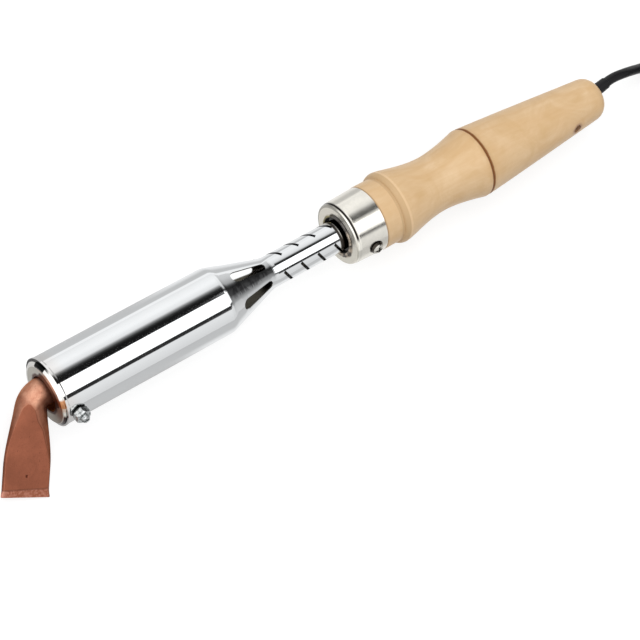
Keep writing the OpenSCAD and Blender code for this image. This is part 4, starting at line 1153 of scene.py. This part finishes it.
        # Inside the hole round the neck: near-black, painted shade.
        base = f.mix(f.reach(radius, 9.0, 9.3), base, (0.014, 0.012, 0.010))
        u, v, w = screw_axis(f, x, y, z, FERRULE_SCREW_X, SCREW_TURN)
        # The ring round each screw head is painted dark: painted shade.
        screw_gap_shade = f.maths("MULTIPLY", f.reach(f.radius(u, v), 3.4, 3.65), f.over(f.maths("ABSOLUTE", w), 10, 11))
        base = f.mix(screw_gap_shade, base, (0.05, 0.042, 0.035))
        rough = f.maths("MULTIPLY_ADD", f.maths("MAXIMUM", face, collar), 0.22, f.between(around, 0.13, 0.22))
        relief = f.bump(around, 0.004)
        relief = f.bump(f.noise(0.16, 2), 0.014, normal=relief)
        dress(f.set(Base_Color=base, Roughness=rough, Normal=relief), "ferrule")

        f = Finish("nose_plate", colours.nickel, metallic=1.0)
        x, y, z = f.parts()
        radius = f.radius(y, z)
        wobble = f.maths("MULTIPLY_ADD", f.noise(0.3, 4), 1.6, -0.8)
        face = f.reach(x, -1.35, -1.0)
        bore = f.maths("MULTIPLY", f.reach(radius, 8.55, 8.7), f.over(x, -1.45, -1.2))
        turning = f.noise(1.0, 4, 0.6, place=f.stretch((0.6, 0.6, 0.6)))
        angle = f.maths("ARCTAN2", y, z)
        # A black patch painted on the outer border: a painted reflection.
        painted_dark_reflection = f.reach(f.maths("ABSOLUTE", f.maths("SUBTRACT", angle, math.radians(49))), 0.24, 0.27)
        painted_dark_reflection = f.maths("MULTIPLY", painted_dark_reflection, f.over(radius, 13.2, 13.4))
        # The face is painted cream and browner towards one side, and the outer side brighter: painted reflection and
        # highlight.
        low = f.over(f.maths("MULTIPLY", y, -1.0), 2, 12)
        painted_table_reflection = f.mix(low, (0.70, 0.68, 0.61), (0.46, 0.40, 0.33))
        base = f.mix(face, shade(colours.nickel, 1.12), f.mix(f.noise(0.2, 4), painted_table_reflection, shade(colours.nickel, 0.72)))
        # Orange painted near the bore and in a narrow band: a painted reflection of the copper.
        right = f.maths("MULTIPLY", f.over(angle, -0.95, -0.80), f.reach(angle, 0.80, 1.05))
        copper_reflection_rim = f.maths("MULTIPLY", f.maths("MULTIPLY", f.over(radius, 12.5, 12.9), right), 0.45)
        painted_copper_reflection = f.maths("MAXIMUM", copper_reflection_rim, f.reach(f.maths("ABSOLUTE", f.maths("ADD", angle, 0.58)), 0.14, 0.20))
        base = f.mix(f.maths("MULTIPLY", painted_copper_reflection, 0.88), base, (0.56, 0.20, 0.045))
        # A white strip painted on the outer border: a painted highlight.
        base = f.mix(f.maths("MULTIPLY", f.over(radius, 13.0, 13.4), f.over(angle, -0.50, -0.40)), base, (0.97, 0.96, 0.93))
        # The ring's side is painted near-black on one side: painted shade.
        painted_shade = f.maths("MULTIPLY", f.maths("SUBTRACT", 1.0, face), f.reach(angle, -1.15, -0.98))
        base = f.mix(f.maths("MULTIPLY", painted_shade, f.over(angle, -2.6, -2.3)), base, (0.035, 0.010, 0.009))
        # Dark red-brown painted round the bore's edge: painted shade and reflection of the copper.
        bore_edge_shade = f.reach(f.maths("ADD", f.maths("MULTIPLY_ADD", right, -1.9, radius), wobble), 9.3, 10.3)
        base = f.mix(f.maths("MULTIPLY", bore_edge_shade, 0.92), base, f.mix(f.noise(0.5, 3), (0.12, 0.026, 0.010), (0.035, 0.010, 0.007)))
        # The bore is painted orange-brown: a painted reflection of the copper bit, and oxide.
        bore_glow_and_oxide = f.ramp(f.noise(0.25, 4), (0.4, 0), (0.6, 1))
        base = f.mix(bore, base, f.mix(bore_glow_and_oxide, (0.55, 0.17, 0.04), (0.22, 0.05, 0.02)))
        base = f.mix(painted_dark_reflection, base, (0.008, 0.008, 0.008))
        rough = f.maths("MULTIPLY_ADD", f.maths("MAXIMUM", face, bore), 0.2, f.between(turning, 0.10, 0.18))
        dull = f.maths("MULTIPLY_ADD", bore, -0.8, 1.0)
        dress(f.set(Base_Color=base, Metallic=dull, Roughness=rough, Normal=f.bump(turning, 0.004)), "nose_ring")
        return {"FINISHED"}

    def slit_shade(self, f, x, y, z):
        """1 on the painted shade round the neck's three rows of slanted slits."""
        c, s = math.cos(math.radians(-59)), math.sin(math.radians(-59))
        found = 0.0
        for row in range(3):
            u, v, w = screw_axis(f, x, y, z, 124.8 - 1.5 * row, 33 + 120 * row)
            inside = f.reach(f.maths("ABSOLUTE", f.maths("ADD", u, -14.175)), 18.6, 18.9)
            u = f.node("ShaderNodeMath", {"operation": "WRAP"}, i0=u, i1=4.725, i2=-4.725).outputs[0]
            along = f.maths("ADD", f.maths("MULTIPLY", u, c), f.maths("MULTIPLY", v, s))
            across = f.maths("SUBTRACT", f.maths("MULTIPLY", v, c), f.maths("MULTIPLY", u, s))
            slit = f.maths("MULTIPLY", f.reach(f.maths("ABSOLUTE", along), 4.3, 4.6), f.reach(f.maths("ABSOLUTE", across), 0.55, 0.80))
            slit = f.maths("MULTIPLY", f.maths("MULTIPLY", slit, inside), f.over(w, 0.5, 1.0))
            found = f.maths("MAXIMUM", found, slit)
        return found


class IRON_OT_heater(bpy.types.Operator):
    """Finishes what is inside the barrel: core, mica, winding, wraps, disc and leads"""

    bl_idname = "iron.heater"
    bl_label = "Heater"

    def execute(self, context):
        dress(metal("core_steel", (0.26, 0.235, 0.22), (0.34, 0.55), 0.01, (0.1, 1, 1), (0.20, 0.13, 0.10)), "core_tube")
        f = Finish("mica_sheet", (0.62, 0.52, 0.36))
        flakes = f.node("ShaderNodeTexVoronoi", Vector=f.place, Scale=0.7).outputs["Distance"]
        cloud = f.noise(0.3, 4)
        f.set(
            Base_Color=f.mix(f.ramp(flakes, (0.1, 0), (0.7, 1)), (0.50, 0.38, 0.22), f.mix(cloud, (0.74, 0.66, 0.50), (0.60, 0.48, 0.30))),
            Roughness=f.between(flakes, 0.18, 0.42), Normal=f.bump(flakes, 0.04),
        )
        dress(f.material, "mica_wrap")
        dress(metal("winding_wire", (0.36, 0.32, 0.29), (0.28, 0.45), 0.0, (0.5, 2, 2), (0.22, 0.17, 0.15)), "heater_winding")
        dress(woven("wrap_cloth", (0.70, 0.64, 0.50), 1.6, (1, 0.7, 0), (1, -0.7, 0.7), 0.15, 0.85), "outer_wrap")
        dress(plain("disc_ceramic", (0.80, 0.76, 0.68), 0.55, 1.6, 0.04, 0.88), "rear_disc")
        dress(metal("lead_nickel", (0.55, 0.52, 0.48), (0.25, 0.4), 0.0, (0.3, 2, 2), (0.40, 0.33, 0.27)), "lead_wires")
        dress(woven("lead_braid", (0.22, 0.19, 0.15), 0.9, (1, 0.8, 0.6), (1, -0.8, -0.6), 0.10, 0.8), "lead_sleeves")
        return {"FINISHED"}


class IRON_OT_handle(bpy.types.Operator):
    """Finishes the turned handle, its burnt groove, and what is in it"""

    bl_idname = "iron.handle"
    bl_label = "Handle"

    def execute(self, context):
        colours = settings("iron_colours")
        groove = 236.7
        f = Finish("turned_wood", colours.wood, coat_weight=0.12, coat_roughness=0.28)
        x, y, z = f.parts()
        drift = f.maths("MULTIPLY_ADD", f.noise(1.0, 3, place=f.stretch((0.02, 0.05, 0.05))), 16.0, -8.0)
        up, out = f.maths("ADD", z, 46.0), f.maths("SUBTRACT", y, 21.0)
        rings = f.maths("SQRT", f.maths("ADD", f.maths("MULTIPLY", up, up), f.maths("MULTIPLY", out, out)))
        rings = f.maths("SINE", f.maths("MULTIPLY", f.maths("ADD", rings, drift), 1.15))
        streaks = f.noise(1.0, 6, 0.62, place=f.stretch((0.025, 0.42, 0.42)), warp=0.4)
        pores = f.noise(1.0, 4, 0.6, place=f.stretch((0.22, 3.4, 3.4)))
        figure = f.noise(1.0, 3, 0.55, place=f.stretch((0.055, 0.075, 0.075)), warp=1.2)
        wood = colours.wood
        pale, deep = (tuple(min(1, c * k) for c, k in zip(wood, by)) for by in ((1.06, 1.09, 1.16), (0.94, 0.90, 0.82)))
        base = f.mix(f.ramp(figure, (0.32, 0), (0.68, 1)), deep, pale)
        base = f.mix(f.ramp(rings, (0.35, 0), (0.98, 0.26)), base, tuple(c * k for c, k in zip(wood, (0.90, 0.80, 0.64))))
        base = f.mix(f.ramp(streaks, (0.36, 0.24), (0.62, 0.0)), base, tuple(c * k for c, k in zip(wood, (0.84, 0.74, 0.58))))
        base = f.mix(f.ramp(pores, (0.60, 0), (0.78, 0.18)), base, tuple(c * k for c, k in zip(wood, (0.62, 0.48, 0.34))))
        # A darker band at the bead and a pale line just behind it: painted shade and a painted highlight.
        bead_shade = f.reach(f.maths("ABSOLUTE", f.maths("SUBTRACT", x, BEAD_X + 0.7)), 1.6, 2.2)
        base = f.mix(f.maths("MULTIPLY", bead_shade, 0.75), base, shade(deep, 0.82))
        light = f.reach(f.maths("ABSOLUTE", f.maths("SUBTRACT", x, BEAD_X + 3.2)), 0.3, 0.8)
        base = f.mix(f.maths("MULTIPLY", light, 0.45), base, shade(pale, 1.12))

        edge = f.maths("MULTIPLY_ADD", f.noise(0.5, 3), 0.5, -0.25)
        off = f.maths("ABSOLUTE", f.maths("SUBTRACT", f.maths("ADD", x, edge), groove))
        radius = f.radius(y, z)
        burn = f.maths("MULTIPLY", f.reach(off, 0.5, 1.05), f.reach(f.maths("MULTIPLY", radius, -1.0), -15, -13))
        halo = f.maths("MULTIPLY", f.reach(off, 0.6, 3.2), 0.25)
        base = f.mix(halo, base, (0.50, 0.27, 0.10))
        base = f.mix(burn, base, colours.burnt)
        rim = f.maths("MULTIPLY", f.reach(f.maths("ABSOLUTE", f.maths("SUBTRACT", x, 174.5)), 0.25, 0.9), 0.6)
        base = f.mix(rim, base, (0.24, 0.11, 0.04))
        turn = math.radians(SCREW_TURN)
        hole_at = (292.5, -12.1 * math.cos(turn), 12.1 * math.sin(turn))
        hole = f.reach(f.maths("ADD", f.far(hole_at), f.maths("MULTIPLY", edge, 2.0)), 1.9, 4.0)
        base = f.mix(f.maths("MULTIPLY", hole, 0.75), base, (0.30, 0.155, 0.10))
        end = f.maths("MULTIPLY", f.reach(f.maths("MULTIPLY", x, -1.0), -313.9, -312.0), 0.35)
        base = f.mix(end, base, (0.48, 0.27, 0.12))
        relief = f.bump(streaks, 0.018)
        relief = f.bump(pores, 0.012, normal=relief)
        f.set(Base_Color=base, Roughness=f.between(streaks, 0.36, 0.5), Normal=relief)
        dress(f.material, "handle")

        dress(plain("cord_screw_fibre", (0.17, 0.10, 0.075), 0.5, 2.2, 0.03, 0.7), "cord_screw")
        dress(plain("pad_fibre", (0.30, 0.15, 0.09), 0.75, 1.8, 0.06, 0.6), "cord_pad")
        dress(plain("block_ceramic", (0.84, 0.82, 0.77), 0.45, 1.2, 0.03, 0.9), "terminal_block")
        dress(metal("terminal_brass", (0.68, 0.50, 0.23), (0.2, 0.38), 0.003, (0.5, 1, 1), (0.45, 0.30, 0.13)), "terminal_screws")
        dress(metal("core_copper", (0.60, 0.27, 0.15), (0.25, 0.42), 0.0, (0.3, 3, 3), (0.42, 0.18, 0.10)), "cord_cores")
        dress(rubber_finish(), "inner_cord", "cord_sleeve")
        return {"FINISHED"}


GROUPS = {
    "iron_bit": IronBitSizes, "iron_screws": IronScrewSizes, "iron_cord": IronCordSizes,
    "iron_colours": IronColours, "iron_stage": IronStage,
}
CLASSES = (
    *GROUPS.values(), IRON_OT_stage, IRON_OT_cord, IRON_OT_tie, IRON_OT_plug, IRON_OT_bit, IRON_OT_clamp,
    IRON_OT_ferrule_screws, IRON_OT_metalwork, IRON_OT_heater, IRON_OT_handle,
)
STEPS = ("stage", "cord", "tie", "plug", "bit", "clamp", "ferrule_screws", "metalwork", "heater", "handle")


class IRON_PT_panel(bpy.types.Panel):
    """Lists the sizes and the steps"""

    bl_idname = "IRON_PT_panel"
    bl_label = "Soldering iron"
    bl_space_type = "VIEW_3D"
    bl_region_type = "UI"
    bl_category = "Iron"

    def draw(self, context):
        for kind in GROUPS:
            group = getattr(context.scene, kind)
            box = self.layout.box()
            for name in group.__annotations__:
                box.prop(group, name)
        for step in STEPS:
            self.layout.operator("iron." + step)


def register():
    for item in (*CLASSES, IRON_PT_panel):
        bpy.utils.register_class(item)
    for name, group in GROUPS.items():
        setattr(bpy.types.Scene, name, bpy.props.PointerProperty(type=group))


def unregister():
    for name in GROUPS:
        delattr(bpy.types.Scene, name)
    for item in reversed((*CLASSES, IRON_PT_panel)):
        bpy.utils.unregister_class(item)


def main():
    register()
    for step in STEPS:
        getattr(bpy.ops.iron, step)()
    size = settings("iron_cord")


if __name__ == "__main__":
    main()
